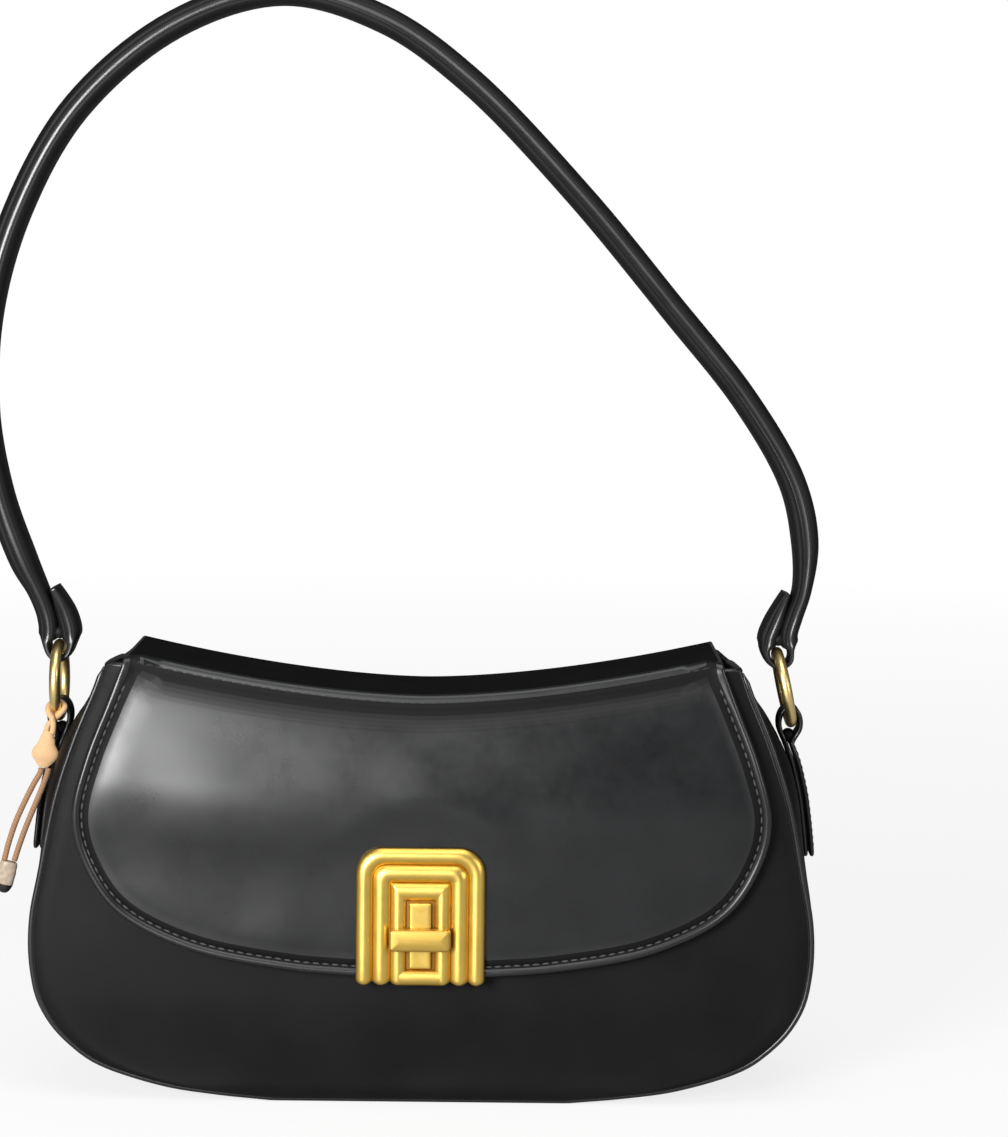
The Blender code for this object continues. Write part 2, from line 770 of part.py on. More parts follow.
def build_ring(name, x, tilt):
    tool = bmesh.new()
    turns = 30
    sides = 10
    grid = []
    for i in range(turns):
        a = 2 * pi * i / turns
        ring = []
        for j in range(sides):
            b = 2 * pi * j / sides
            radius = ring_mid_radius + wire_radius * cos(b)
            ring.append(tool.verts.new((wire_radius * sin(b), radius * sin(a), radius * cos(a))))
        grid.append(ring)
    for i in range(turns):
        for j in range(sides):
            k = (i + 1) % turns
            m = (j + 1) % sides
            tool.faces.new((grid[i][j], grid[i][m], grid[k][m], grid[k][j]))
    frame = Matrix.Translation((x, 0, ring_height)) @ Matrix.Rotation(-tilt, 4, "Y")
    return finish(name, tool, ring_gold, frame)


build_ring("ring_right", ring_right_x, ring_tilt)
build_ring("ring_left", ring_left_x, 0)


# Tabs: leather folded over the foot of each ring and sewn down on the gusset


def build_tab(name, side):
    rise = ring_mid_radius * cos(ring_tilt)
    levels = [tab_bottom, *[z for z, x in side_face if tab_bottom < z < tab_neck], tab_neck]
    layers = []
    for offset in (seat_gap + tab_thick / 2, seat_gap + tab_thick * 1.5 + tab_layer_gap):
        layers.append([(table(side_face, z) + offset * 1.06, z, tab_half_width) for z in levels])
    loop = []
    for k in range(17):
        a = radians(-25 + 230 * k / 16)
        x = tab_loop_x + tab_loop_reach * cos(a)
        loop.append((x, ring_height - rise + tab_loop_rise * sin(a), tab_loop_half_width))
    route = layers[1] + loop + layers[0][::-1]
    stations = [(side * x, z, tab_thick / 2, half_width) for x, z, half_width in route]
    return sweep(name, stations, leather, 8)


build_tab("tab_left", -1)
build_tab("tab_right", 1)


# Strap: one length of leather, rolled along the arch and flat where it folds round the rings


def strap_end(shares, ring_x):
    rows = []
    for x_share, z_share, thick_share in shares:
        x = ring_x + x_share * ring_mid_radius
        z = ring_height + z_share * ring_mid_radius
        half_width = strap_end_half_width + (strap_half_width - strap_end_half_width) * smoothstep(2.0, 3.2, z_share)
        rows.append((x, z, thick_share * loop_thick / 2, half_width))
    return rows


def build_strap():
    rows = strap_end(left_end_shares, ring_left_x)[::-1]
    for x_share, z_share in strap_shares:
        x = x_share * strap_half_span
        z = ring_height + z_share * strap_rise
        rows.append((x, z, strap_thick / 2, strap_half_width))
    rows += strap_end(right_end_shares, ring_right_x)
    return sweep("strap", [tuple(p) for p in smooth(rows, 3)], strap_leather, 10)


strap = build_strap()
hang([strap], "strap_pivot", Vector((0, 0, ring_height)))


# Swing-tag string: a loop on the ring, a knot, and two strands that end in a sealed tip

cord_loop_route = (
    (-0.1248, -0.0097, 0.1175), (-0.1250, -0.0096, 0.1202), (-0.1235, -0.0091, 0.1234),
    (-0.12325, -0.00827, 0.12443), (-0.12273, -0.00711, 0.12559), (-0.1204, -0.00625, 0.12645),
    (-0.11807, -0.00711, 0.12559), (-0.11755, -0.00827, 0.12443), (-0.1178, -0.0092, 0.1233),
    (-0.1196, -0.0097, 0.1205), (-0.1221, -0.0098, 0.1175),
)
left_strand_route = (
    (-0.1252, -0.0097, 0.1048), (-0.1254, -0.0097, 0.1036), (-0.1277, -0.0095, 0.0995), (-0.1305, -0.0092, 0.0940),
    (-0.1337, -0.0090, 0.0869), (-0.1361, -0.0089, 0.0798), (-0.1376, -0.0089, 0.0740),
)
right_strand_route = (
    (-0.1229, -0.0097, 0.1048), (-0.1230, -0.0097, 0.1036), (-0.1246, -0.0095, 0.0992), (-0.1268, -0.0092, 0.0938),
    (-0.1299, -0.0090, 0.0864), (-0.1325, -0.0089, 0.0794), (-0.1343, -0.0089, 0.0738),
)
knot_place = (-0.1239, -0.0097, 0.1111)
tip_place = (-0.13596, -0.0089, 0.0735)
tip_lean = radians(12)


def cord(name, points, radius):
    """A tube along a smooth curve through the route's own points."""
    line = bpy.data.curves.new(name, "CURVE")
    line.dimensions = "3D"
    line.bevel_depth = radius
    line.bevel_resolution = 2
    line.use_fill_caps = True
    spline = line.splines.new("POLY")
    route = smooth(points, 2)
    spline.points.add(len(route) - 1)
    for point, place in zip(spline.points, route):
        point.co = (*place, 1)
    line.materials.append(string)
    made = bpy.data.objects.new(name, line)
    bpy.context.scene.collection.objects.link(made)
    return made


def oval_stack(name, profile, half_width, half_thick, height, surface, frame):
    """A solid of oval slices, from (height share, width share) rows."""
    loops = []
    for height_share, width_share in profile:
        turns = [2 * pi * k / 12 for k in range(12)]
        loops.append([
            Vector((half_width * width_share * cos(a), half_thick * width_share * sin(a), height * height_share))
            for a in turns
        ])
    return tube(name, loops, surface, frame)


knot_shares = ((-1.0, 0.42), (-0.72, 0.72), (-0.1, 1.0), (0.25, 0.82), (0.62, 0.5), (1.0, 0.36))
tip_shares = ((0.0, 0.86), (-0.06, 0.97), (-0.35, 1.0), (-0.72, 0.88), (-0.92, 0.62), (-1.0, 0.3))
cord("tag_cord_loop", cord_loop_route, loop_string_radius)
cord("tag_cord_left", left_strand_route, strand_radius)
cord("tag_cord_right", right_strand_route, strand_radius)
oval_stack("tag_knot", knot_shares, knot_half_width, knot_half_thick, knot_half_height, string,
           Matrix.Translation(knot_place))
oval_stack("tag_tip", tip_shares, tip_half_width, tip_half_thick, tip_length, tip_plastic,
           Matrix.Translation(tip_place) @ Matrix.Rotation(tip_lean, 4, "Y"))
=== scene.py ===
import json
from math import atan, cos, pi, radians, sin, sqrt

import bmesh
import bpy
import numpy as np
from mathutils import Matrix, Vector, geometry, noise
from numpy.linalg import norm

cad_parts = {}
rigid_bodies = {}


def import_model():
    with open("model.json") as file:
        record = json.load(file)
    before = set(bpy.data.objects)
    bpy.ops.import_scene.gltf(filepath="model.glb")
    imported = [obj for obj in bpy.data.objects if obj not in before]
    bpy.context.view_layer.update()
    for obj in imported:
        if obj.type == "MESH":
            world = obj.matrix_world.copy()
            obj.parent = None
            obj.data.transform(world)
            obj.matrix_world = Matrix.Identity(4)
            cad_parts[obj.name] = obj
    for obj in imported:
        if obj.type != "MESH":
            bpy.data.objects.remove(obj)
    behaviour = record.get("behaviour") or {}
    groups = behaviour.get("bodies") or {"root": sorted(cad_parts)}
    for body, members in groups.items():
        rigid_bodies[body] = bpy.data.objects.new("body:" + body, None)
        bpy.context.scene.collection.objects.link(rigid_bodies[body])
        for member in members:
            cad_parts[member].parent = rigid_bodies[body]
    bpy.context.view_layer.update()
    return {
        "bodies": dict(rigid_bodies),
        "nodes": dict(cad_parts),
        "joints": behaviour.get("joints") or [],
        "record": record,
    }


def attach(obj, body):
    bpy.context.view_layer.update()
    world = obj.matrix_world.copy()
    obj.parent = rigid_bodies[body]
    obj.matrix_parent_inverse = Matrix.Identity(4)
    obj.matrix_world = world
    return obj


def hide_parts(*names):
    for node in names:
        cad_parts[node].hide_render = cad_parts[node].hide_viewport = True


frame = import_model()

scene = bpy.context.scene
MM = 0.001

# Body sizes in millimetres, as in the part's source
BODY_TOP = 142.5
PANEL_HALF_WIDTH = 126.0
PANEL_HEIGHT = 141.3
BASE_DROP = 1.2
BASE_DEPTH = 32.0
TOP_DEPTH = 26.0
PANEL = 2.4
GUSSET = 2.0
GAP = 0.3
RIDGE_HALF = 96.0
RIDGE = 144.5
DIP = 13.0
DIP_POWER = 1.7
EAR_DROP = 5.0
FRONT_CROWN = 3.0
BACK_CROWN = 1.5
SIDE_BULGE = 3.6
FLAP_HALF = 112.0
FLAP_BOTTOM = 43.5
FLAP = 1.6
FLAP_STACK = 2.9
FLAP_GAP_LOW = 3.4
FLAP_GAP_TOP = 1.1
PAD = 2.0
FOLD = 3.2
HINGE_Z = 126.8
HINGE_Y = TOP_DEPTH + (BASE_DEPTH - TOP_DEPTH) * (1 - HINGE_Z / BODY_TOP) + GAP + FLAP
LEAN = atan((BASE_DEPTH - TOP_DEPTH) / BODY_TOP)
RING_Z = 132.7
RING_RADIUS = 11.7
WIRE = 1.8
RING_LEFT = -120.44
RING_RIGHT = 118.01
RING_TILT = radians(12)
PLATE_Z = 63.2

# Half of the panel's outline, in shares of its half width and height
OUTLINE = (
    (0.381, 0.0), (0.53, 0.0125), (0.663, 0.031), (0.828, 0.079), (0.891, 0.118), (0.943, 0.166),
    (0.979, 0.224), (0.995, 0.289), (1.0, 0.352), (0.995, 0.423), (0.978, 0.501), (0.939, 0.677),
    (0.894, 0.805), (0.841, 0.926), (0.813, 1.0),
)
# How far the gusset stands out, by share of the height
BULGE = (
    (0.0, 0.0), (0.25, 0.02), (0.42, 0.18), (0.54, 0.40), (0.68, 0.82), (0.76, 0.97),
    (0.8, 0.88), (0.84, 0.58), (0.88, 0.24), (0.93, 0.08), (1.0, 0.0),
)
# Half of the flap's outline, in shares of its half width and height
FLAP_OUTLINE = (
    (0.862, 1.0), (0.906, 0.875), (0.964, 0.70), (1.0, 0.52), (0.976, 0.373), (0.878, 0.202),
    (0.67, 0.079), (0.375, 0.015), (0.2, 0.0),
)


def ramp(low, high, value):
    """From 0 to 1, smoothly, between two values."""
    t = np.clip((value - low) / (high - low), 0, 1)
    return t * t * (3 - 2 * t)


def smooth(points, steps):
    """Points on a centripetal Catmull-Rom curve through the given rows, ends included."""
    rows = np.array(points, float)
    rows = [2 * rows[0] - rows[1], *rows, 2 * rows[-1] - rows[-2]]
    found = []
    for four in zip(rows, rows[1:], rows[2:], rows[3:]):
        at = np.cumsum([0] + [norm(b - a) ** 0.5 for a, b in zip(four, four[1:])])
        for step in range(steps):
            t = at[1] + (at[2] - at[1]) * step / steps
            level = four
            for spans in (((0, 1), (1, 2), (2, 3)), ((0, 2), (1, 3)), ((1, 2),)):
                level = [a + (b - a) * (t - at[i]) / (at[j] - at[i])
                         for (i, j), a, b in zip(spans, level, level[1:])]
            found.append(level[0])
    return np.array(found + [rows[-2]])


def unit(rows):
    """Rows of length one."""
    return rows / np.maximum(norm(rows, axis=-1, keepdims=True), 1e-9)


def outward(path):
    """The outward direction at each point of an anticlockwise line."""
    runs = unit(np.gradient(path, axis=0))
    return np.stack([runs[:, 1], -runs[:, 0]], axis=1)


def circle(count):
    return [2 * pi * k / count for k in range(count)]


def quarter(count):
    return [pi / 2 * k / count for k in range(count + 1)]


def rounding(count):
    """Shares from 0 to 1 that lie closer together at both ends."""
    return (1 - np.cos(np.linspace(0, pi, count))) / 2


def eased(count, bent):
    """Shares from -1 to 1 that lie closer together at both ends, by how much they are bent."""
    return np.sin(np.linspace(-pi / 2, pi / 2, count)) * bent + np.linspace(-1, 1, count) * (1 - bent)


def even(points, count):
    """The same line with evenly spaced points."""
    run = np.concatenate([[0], np.cumsum(norm(np.diff(points, axis=0), axis=1))])
    at = np.linspace(0, run[-1], count)
    return np.stack([np.interp(at, run, points[:, i]) for i in range(points.shape[1])], axis=1)


def length_of(points):
    return float(norm(np.diff(points, axis=0), axis=1).sum())


def half_depth(z):
    return BASE_DEPTH + (TOP_DEPTH - BASE_DEPTH) * z / BODY_TOP


# From the end of the base's flat round the corner to the top of the side
outline = smooth(OUTLINE, 8) * [PANEL_HALF_WIDTH, PANEL_HEIGHT] + [0, BASE_DROP]


def reach_at(line, z):
    """How far to the side a line goes at a height."""
    return np.interp(z, line[:, 1], line[:, 0])


def crown(x, z, size):
    """How far a panel swells out over its middle."""
    share = z / BODY_TOP
    hump = ramp(0.02, 0.25, share) * (1 - ramp(0.6, 0.88, share))
    across = np.minimum(1, np.abs(x) / reach_at(outline, z))
    return size * (1 - across * across) * hump


def bulge(z):
    return BASE_DROP + SIDE_BULGE * np.interp((z - BASE_DROP) / PANEL_HEIGHT, *zip(*BULGE))


def dip(x):
    """How far the top edge hangs under its ends."""
    return DIP * (1 - np.minimum(1, np.abs(x) / RIDGE_HALF) ** DIP_POWER)


def sag(x):
    """How far the body's own top edge hangs, a little deeper under the flap."""
    return dip(x) + 1.5 * ramp(outline[-1, 0], RIDGE_HALF, np.abs(x))


def ear(x, height):
    """How far the top corners round off, past the flap's ends."""
    outer = ramp(RIDGE_HALF, outline[-1, 0], np.abs(x))
    return EAR_DROP * outer * ramp(0.85, 1, height / BODY_TOP)


def ear_height(side):
    """The ear stands high at the front panel and low at the back one."""
    return 0.62 + 0.38 * side


def flap_face(x, z):
    """How far in front of the middle plane the flap's outer face lies. Its padded field stands out
    over the middle and falls off to the ends, but lies flat under the lock."""
    share = (z - FLAP_BOTTOM) / (RIDGE - FLAP_BOTTOM)
    gap = FLAP_GAP_LOW - (FLAP_GAP_LOW - FLAP_GAP_TOP) * ramp(0.45, 1, share)
    pad = PAD * ramp(0.3, 0.62, share) * (1 - ramp(0.66, 1, share))
    pad = pad * ramp(24, 38, np.hypot(x, z - PLATE_Z))
    return half_depth(z) + crown(x, z, FRONT_CROWN) + gap + FLAP_STACK + pad - (x / FLAP_HALF) ** 2


def ripple(place, size, height):
    """A small smooth swell at a place, the same each run."""
    return noise.noise(Vector(place) / size) * height


def turned(place, angle, axis):
    return Matrix.Translation(place) @ Matrix.Rotation(angle, 4, axis)


def in_scene(name, data):
    made = bpy.data.objects.new(name, data)
    scene.collection.objects.link(made)
    return made


# Camera, at the photograph's angle

ELEVATION = radians(6)
ROLL = radians(0.6)
forward = Vector((0, cos(ELEVATION), -sin(ELEVATION)))
level = Vector((1, 0, 0))
right = cos(ROLL) * level + sin(ROLL) * level.cross(forward)
up = right.cross(forward)
camera_data = bpy.data.cameras.new("camera")
camera_data.sensor_width = 36
camera_data.lens = 96.53
camera_data.clip_start = 0.05
camera_data.clip_end = 60
camera = in_scene("camera", camera_data)
place = Vector((0.0255, 0, 0.171)) - forward
camera.matrix_world = Matrix.Translation(place) @ Matrix((right, up, -forward)).transposed().to_4x4()
scene.camera = camera


# Materials

HAIR_TURN = radians(58)
BRUSH_TURN = radians(20)
TWIST_TURN = radians(-52)
# What a colour is multiplied by where painted shade darkens creases, grooves and hollows, or where leather is
# worn
CREASE_SHADE_LEATHER = 0.8
WORN_LEATHER = 1.6
RIB_GROOVE_SHADE = (0.68, 0.6, 0.42)
GOLD_HOLLOW_SHADE = (0.86, 0.76, 0.5)


class Tree:
    """Short calls for the nodes of a material or a world."""

    def __init__(self, tree):
        self.tree = tree

    def link(self, value, socket):
        if isinstance(value, bpy.types.NodeSocket):
            self.tree.links.new(value, socket)
        else:
            socket.default_value = value

    def node(self, kind, **values):
        made = self.tree.nodes.new("ShaderNode" + kind)
        for key, value in values.items():
            if key in made.inputs:
                self.link(value, made.inputs[key])
            else:
                setattr(made, key, value)
        return made

    def math(self, kind, a, b):
        made = self.node("Math", operation=kind)
        self.link(a, made.inputs[0])
        self.link(b, made.inputs[1])
        return made.outputs[0]

    def ramp(self, fac, low, high, start=0.0, end=1.0):
        """A colour or a grey that runs from one value to another."""
        if isinstance(low, tuple):
            mix = self.node("Mix", data_type="RGBA", Factor=self.ramp(fac, 0.0, 1.0, start, end))
            mix.inputs[6].default_value = (*low, 1)
            mix.inputs[7].default_value = (*high, 1)
            return mix.outputs[2]
        made = self.node("MapRange", **{
            "Value": fac, "From Min": start, "From Max": end, "To Min": low, "To Max": high})
        return made.outputs["Result"]


class Nodes(Tree):
    """A Principled material."""

    def __init__(self, name, color, roughness, metallic=0.0, **fixed):
        self.material = bpy.data.materials.new(name)
        self.material.use_nodes = True
        super().__init__(self.material.node_tree)
        self.shader = self.tree.nodes["Principled BSDF"]
        fixed.update(Base_Color=(*color, 1), Roughness=roughness, Metallic=metallic)
        for key, value in fixed.items():
            self.to(key.replace("_", " "), value)
        self.place = self.node("TexCoord").outputs["Object"]
        self.normal = None

    def mapped(self, scale, turn=(0, 0, 0)):
        """Places turned first and scaled after that, so that a long grain follows the turn."""
        made = self.node("Mapping", vector_type="TEXTURE", Vector=self.place,
                         Scale=tuple(1 / s for s in scale), Rotation=turn)
        return made.outputs[0]

    def noise(self, scale, detail=2.0, place=None):
        made = self.node("TexNoise", Vector=place or self.place, Scale=scale, Detail=detail)
        return made.outputs["Fac"]

    def wave(self, scale, axis="X", place=None):
        made = self.node("TexWave", bands_direction=axis, Vector=place or self.place, Scale=scale)
        return made.outputs["Fac"]

    def named(self, name):
        """A value that the mesh carries for each vertex, or how sharp an edge is there."""
        if name == "edge":
            return self.node("NewGeometry").outputs["Pointiness"]
        return self.node("Attribute", attribute_name=name).outputs["Fac"]

    def to(self, name, value):
        self.link(value, self.shader.inputs[name])

    def bump(self, height, distance, strength=1.0):
        made = self.node("Bump", Height=height, Strength=strength, Distance=distance * MM)
        if self.normal:
            self.link(self.normal, made.inputs["Normal"])
        self.normal = made.outputs[0]
        self.to("Normal", self.normal)


def tint(color, shares):
    return tuple(np.multiply(color, shares))


def leather(name, color, roughness, streak=0.012, grain=1.0, shine=0.4, polish=None):
    """Smooth black calf: fine pores, hairline polish marks and slow dents. With a polish the surface
    runs from this roughness to that of the polish, by the mesh's own gloss values."""
    n = Nodes(name, color, roughness, Specular_IOR_Level=shine)
    dents = n.noise(16)
    mottle = n.noise(55, 4)
    hair = n.noise(1, 1, n.mapped((130, 130, 1300), (0, HAIR_TURN, 0)))
    level = n.ramp(mottle, -0.03, 0.04, 0.3, 0.7)
    level = n.math("ADD", level, n.ramp(hair, -streak, streak, 0.25, 0.75))
    level = n.math("ADD", level, n.ramp(n.noise(300, 3), -0.012, 0.012, 0.3, 0.7))
    base = n.ramp(n.named("gloss"), roughness, polish) if polish else roughness
    n.to("Roughness", n.math("ADD", level, base))
    # Base colour: lighter on sharp, worn edges, darker in creases and hollows as painted shade, with mottled
    # tone
    wear_and_crease_shade = n.math("ADD", n.math("MULTIPLY", mottle, 0.25), n.named("edge"))
    n.to("Base Color", n.ramp(wear_and_crease_shade, tint(color, CREASE_SHADE_LEATHER), tint(color, WORN_LEATHER), 0.55, 0.75))
    n.bump(dents, 0.5, 0.16)
    cells = n.node("TexVoronoi", feature="SMOOTH_F1", Vector=n.place, Scale=850)
    n.bump(cells.outputs["Distance"], 0.05, 0.04 * grain)
    n.bump(n.noise(1100), 0.04, 0.08 * grain)
    n.bump(hair, 0.03, 0.05 * grain)
    return n.material


def satin(name, color, roughness, grooves=False):
    """Cast metal with a soft satin grain, darker as painted shade in its grooves, which the mesh's crest
    values tell, or else in its hollows, which the edge sharpness tells.
    """
    n = Nodes(name, color, roughness, 1.0)
    grain = n.noise(1, 3, n.mapped((260, 260, 2600), (0, BRUSH_TURN, 0)))
    level = n.ramp(n.noise(120, 3), roughness - 0.04, roughness + 0.05, 0.3, 0.7)
    n.to("Roughness", n.math("ADD", level, n.ramp(grain, -0.03, 0.03, 0.3, 0.7)))
    # Painted shade: the colour darkens in the ribs' grooves, by crest, or in hollows, by edge sharpness
    value, painted_shade, *span = ("crest", RIB_GROOVE_SHADE, 0.2, 0.95) if grooves else ("edge", GOLD_HOLLOW_SHADE, 0.45, 0.51)
    n.to("Base Color", n.ramp(n.named(value), tint(color, painted_shade), color, *span))
    n.bump(grain, 0.01, 0.3)
    n.bump(n.noise(500), 0.03, 0.12)
    return n.material


def cloth(name, color, pitch):
    """A plain weave: two crossed sets of threads."""
    n = Nodes(name, color, 0.9, Sheen_Weight=0.25)
    weave = n.math("MULTIPLY", n.wave(pitch), n.wave(pitch, "Z"))
    shade = n.math("ADD", weave, n.math("MULTIPLY", n.noise(60, 3), 0.4))
    n.to("Base Color", n.ramp(shade, tint(color, 0.6), tint(color, 1.25), 0.1, 1.0))
    n.bump(weave, 0.15, 0.6)
    n.bump(n.noise(30), 1.0, 0.3)
    return n.material


def twisted(name, color, pitch, rope=0.6):
    """Twisted string: slanting strands with loose fibres, darker in the grooves between the strands as
    painted shade.
    """
    n = Nodes(name, color, 0.75, Sheen_Weight=0.2)
    strands = n.wave(pitch, place=n.mapped((1, 1, 1), (0, TWIST_TURN, 0)))
    fibre = n.noise(2200, 3)
    # Painted shade: darker in the grooves between strands, with random fibre tone
    mix = n.math("ADD", n.math("MULTIPLY", strands, rope), n.math("MULTIPLY", fibre, 0.4))
    n.to("Base Color", n.ramp(mix, tint(color, 1 - 0.6 * rope), tint(color, 1 + 0.35 * rope), 0.2, 0.8))
    n.bump(strands, 0.2, 0.6 * rope)
    n.bump(fibre, 0.06, 0.4)
    return n.material


body_leather = leather("body_leather", (0.0036, 0.0034, 0.0037), 0.52, shine=0.17)
flap_leather = leather("flap_leather", (0.0045, 0.0049, 0.0055), 0.5, 0.0, 0.4, shine=0.6, polish=0.29)
border_leather = leather("border_leather", (0.0036, 0.0036, 0.0038), 0.6, 0.012, 2.0, shine=0.15)
# Bands that run from the border's shine to the field's under the ridge
front_blend = [leather(f"front_blend_{k}", (0.004, 0.0042, 0.0045), 0.6 - 0.02 * k, 0.01,
                       shine=0.15 + 0.09 * k, polish=0.29) for k in range(1, 5)]
strap_leather = leather("strap_leather", (0.005, 0.005, 0.0053), 0.5, shine=0.18)
spine_leather = leather("spine_leather", (0.006, 0.006, 0.0063), 0.7, shine=0.03)
suede = leather("suede_facing", (0.016, 0.015, 0.015), 0.8, 0.02, 2.0)
edge_paint = leather("edge_paint", (0.006, 0.006, 0.0065), 0.3, 0.02, 0.3, shine=0.7)
# The stitch thread is lighter grey than the dark ridge thread: a painted highlight where the stitches catch
# light
thread = twisted("thread", (0.05, 0.05, 0.053), 900)
dark_thread = twisted("dark_thread", (0.014, 0.014, 0.015), 900)
gold = satin("satin_gold", (0.92, 0.63, 0.15), 0.37)
# A darker copy of the gold for the turn bar: painted shade
shaded_bar_gold = satin("shaded_bar_gold", (0.67, 0.45, 0.107), 0.42)
# The ribs' gold takes painted shade in its grooves
rib_gold = satin("rib_gold", (0.96, 0.67, 0.16), 0.37, grooves=True)
# A dark copy of the gold: painted shade in the lock's window
shaded_well_gold = satin("shaded_well_gold", (0.30, 0.16, 0.035), 0.5)
# A lighter, paler copy of the gold for the rings: a painted highlight
ring_gold = satin("ring_gold", (1.0, 0.76, 0.33), 0.36)
steel = satin("plated_steel", (0.62, 0.62, 0.6), 0.35)
lining_cloth = cloth("lining_cloth", (0.022, 0.02, 0.019), 520)
board_mat = cloth("board_fibre", (0.3, 0.26, 0.21), 900)
string_mat = twisted("tan_string", (0.33, 0.175, 0.085), 300, 0.4)
knot_mat = twisted("knot_string", (0.64, 0.40, 0.20), 300, 0.18)


# Mesh tools, all in millimetres


def rework(mesh, change):
    tool = bmesh.new()
    tool.from_mesh(mesh)
    change(tool)
    tool.to_mesh(mesh)
    tool.free()


def add(name, verts, faces, materials, picks=None):
    mesh = bpy.data.meshes.new(name)
    mesh.from_pydata((np.array(verts, float) * MM).tolist(), [], [tuple(map(int, f)) for f in faces])
    rework(mesh, lambda tool: bmesh.ops.recalc_face_normals(tool, faces=tool.faces))
    for entry in materials if isinstance(materials, list) else [materials]:
        mesh.materials.append(entry)
    if picks is not None:
        mesh.polygons.foreach_set("material_index", np.array(picks, dtype=np.int32))
    mesh.shade_smooth()
    return in_scene(name, mesh)


def mark(piece, name, values):
    """Gives each vertex a value that the piece's material reads."""
    layer = piece.data.attributes.new(name, "FLOAT", "POINT")
    layer.data.foreach_set("value", np.array(values, dtype=np.float32))


def keep(piece, body, slot, *nodes):
    """Rides a piece on its body, in place of the CAD nodes that it stands for, which it hides. The slot is
    not used.
    """
    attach(piece, body)
    if nodes:
        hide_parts(*nodes)


def rim_of(rows, columns):
    """A grid's outer points, by number, in order round its rim."""
    at = np.arange(rows * columns).reshape(rows, columns)
    return np.concatenate([at[:, 0], at[-1, 1:], at[-2::-1, -1], at[0, -2:0:-1]])


def solid(name, face, back, rings, materials):
    """A closed solid between two equal grids, joined round the rim through rings of points. With a
    list of two materials the rim takes the second."""
    rows, columns = len(face), len(face[0])
    verts = [spot for grid in (face, back) for row in grid for spot in row]
    at = np.arange(rows * columns).reshape(rows, columns)
    flat = np.stack([at[:-1, :-1], at[:-1, 1:], at[1:, 1:], at[1:, :-1]], axis=2).reshape(-1, 4)
    faces = [*flat, *(flat + rows * columns)]
    layers = [rim_of(rows, columns)]
    for ring in rings:
        layers.append(len(verts) + np.arange(len(ring)))
        verts += list(ring)
    layers.append(layers[0] + rows * columns)
    for low, high in zip(layers, layers[1:]):
        faces += zip(low, np.roll(low, -1), np.roll(high, -1), high)
    picks = np.arange(len(faces)) >= 2 * len(flat) if isinstance(materials, list) else None
    return add(name, verts, faces, materials, picks)


def sheet(name, face, thick, material, out, rim_steps=5):
    """A leather sheet under a grid of points on its outer face, with a rounded and painted rim."""
    face = np.array(face, float)
    rows, columns, _ = face.shape
    normal = unit(np.cross(np.gradient(face, axis=1), np.gradient(face, axis=0)))
    if normal[rows // 2, columns // 2] @ out < 0:
        normal = -normal
    middle = face - normal * thick / 2
    rim = rim_of(rows, columns)
    loop, lift = middle.reshape(-1, 3)[rim], normal.reshape(-1, 3)[rim]
    side = unit(np.cross(np.roll(loop, -1, axis=0) - np.roll(loop, 1, axis=0), lift))
    if ((loop - middle.reshape(-1, 3).mean(axis=0)) * side).sum() < 0:
        side = -side
    turns = [pi * k / rim_steps for k in range(1, rim_steps)]
    rings = [loop + lift * (thick / 2 * cos(turn)) + side * (thick / 2 * sin(turn)) for turn in turns]
    return solid(name, face, middle - normal * thick / 2, rings, [material, edge_paint])


def hide(name, face, thick, out, node):
    """A sheet of the body's own leather, in place of its CAD node."""
    keep(sheet(name, face, thick, body_leather, out), "bag_body", "leather", node)


def bands(count, sides, base=0, closed=False):
    """The faces of a solid through a count of equal loops, with flat ends or closed into a ring."""
    faces = []
    for i in range(count if closed else count - 1):
        low, high = base + i * sides, base + (i + 1) % count * sides
        faces += [(low + k, low + (k + 1) % sides, high + (k + 1) % sides, high + k) for k in range(sides)]
    return faces if closed else faces + [tuple(range(base, base + sides)), tuple(range(high, high + sides))]


def shell(name, loops, materials, picks=None, closed=False):
    faces = bands(len(loops), len(loops[0]), closed=closed)
    return add(name, [p for loop in loops for p in loop], faces, materials, picks)


def tube(name, path, radius, material, sides, closed=False):
    """A round tube along a line of points. The radius is one value, or one for each point."""
    path = np.array(path, float)
    runs = unit(np.roll(path, -1, axis=0) - np.roll(path, 1, axis=0) if closed else np.gradient(path, axis=0))
    lift = np.cross(runs[0], [0.31, 0.87, 0.38])
    loops = []
    for place, run, size in zip(path, runs, np.broadcast_to(radius, len(path))):
        lift = unit(lift - (lift @ run) * run)
        side = np.cross(run, lift)
        loops.append([place + size * (cos(turn) * lift + sin(turn) * side) for turn in circle(sides)])
    return shell(name, loops, material, closed=closed)


def trim(name, path, radius, sides=10, closed=False):
    """A painted or bound edge of the body."""
    keep(tube(name, path, radius, edge_paint, sides, closed), "bag_body", "leather")


def core(name, x, z, half, radii, material, body, slot):
    """A rolled filler inside a fold, with its radii from one end to the middle."""
    path = [(x, y, z) for y in np.linspace(-half, half, 2 * len(radii) - 1)]
    keep(tube(name, path, [*radii, *radii[-2::-1]], material, 16), body, slot)


def stitches(name, body, line, lift, long, gap, wide, tall, material=thread):
    """A row of thread stitches along a line, each a small humped bar. Lift is the line's normal."""
    line = np.array(line, float)
    count = max(2, int(length_of(line) / (long + gap)))
    at = even(np.hstack([line, lift]), 4 * count + 1)
    verts = []
    faces = []
    for s in range(count):
        start, end = at[4 * s, :3], at[4 * s + 4, :3]
        upward = unit(at[4 * s + 2, 3:])
        run = unit(end - start)
        side = np.cross(run, upward)
        faces += bands(7, 6, len(verts))
        for t in np.arange(-3, 4) / 3:
            swell = sqrt(max(0.02, 1 - t * t))
            for turn in circle(6):
                verts.append((start + end) / 2 + run * (t * long / 2) + side * (wide / 2 * swell * cos(turn))
                             + upward * (tall * (swell * (sin(turn) + 0.35) - 0.2)))
    keep(add(name, verts, faces, material), body, "leather")


# Cords first: the swing-tag string

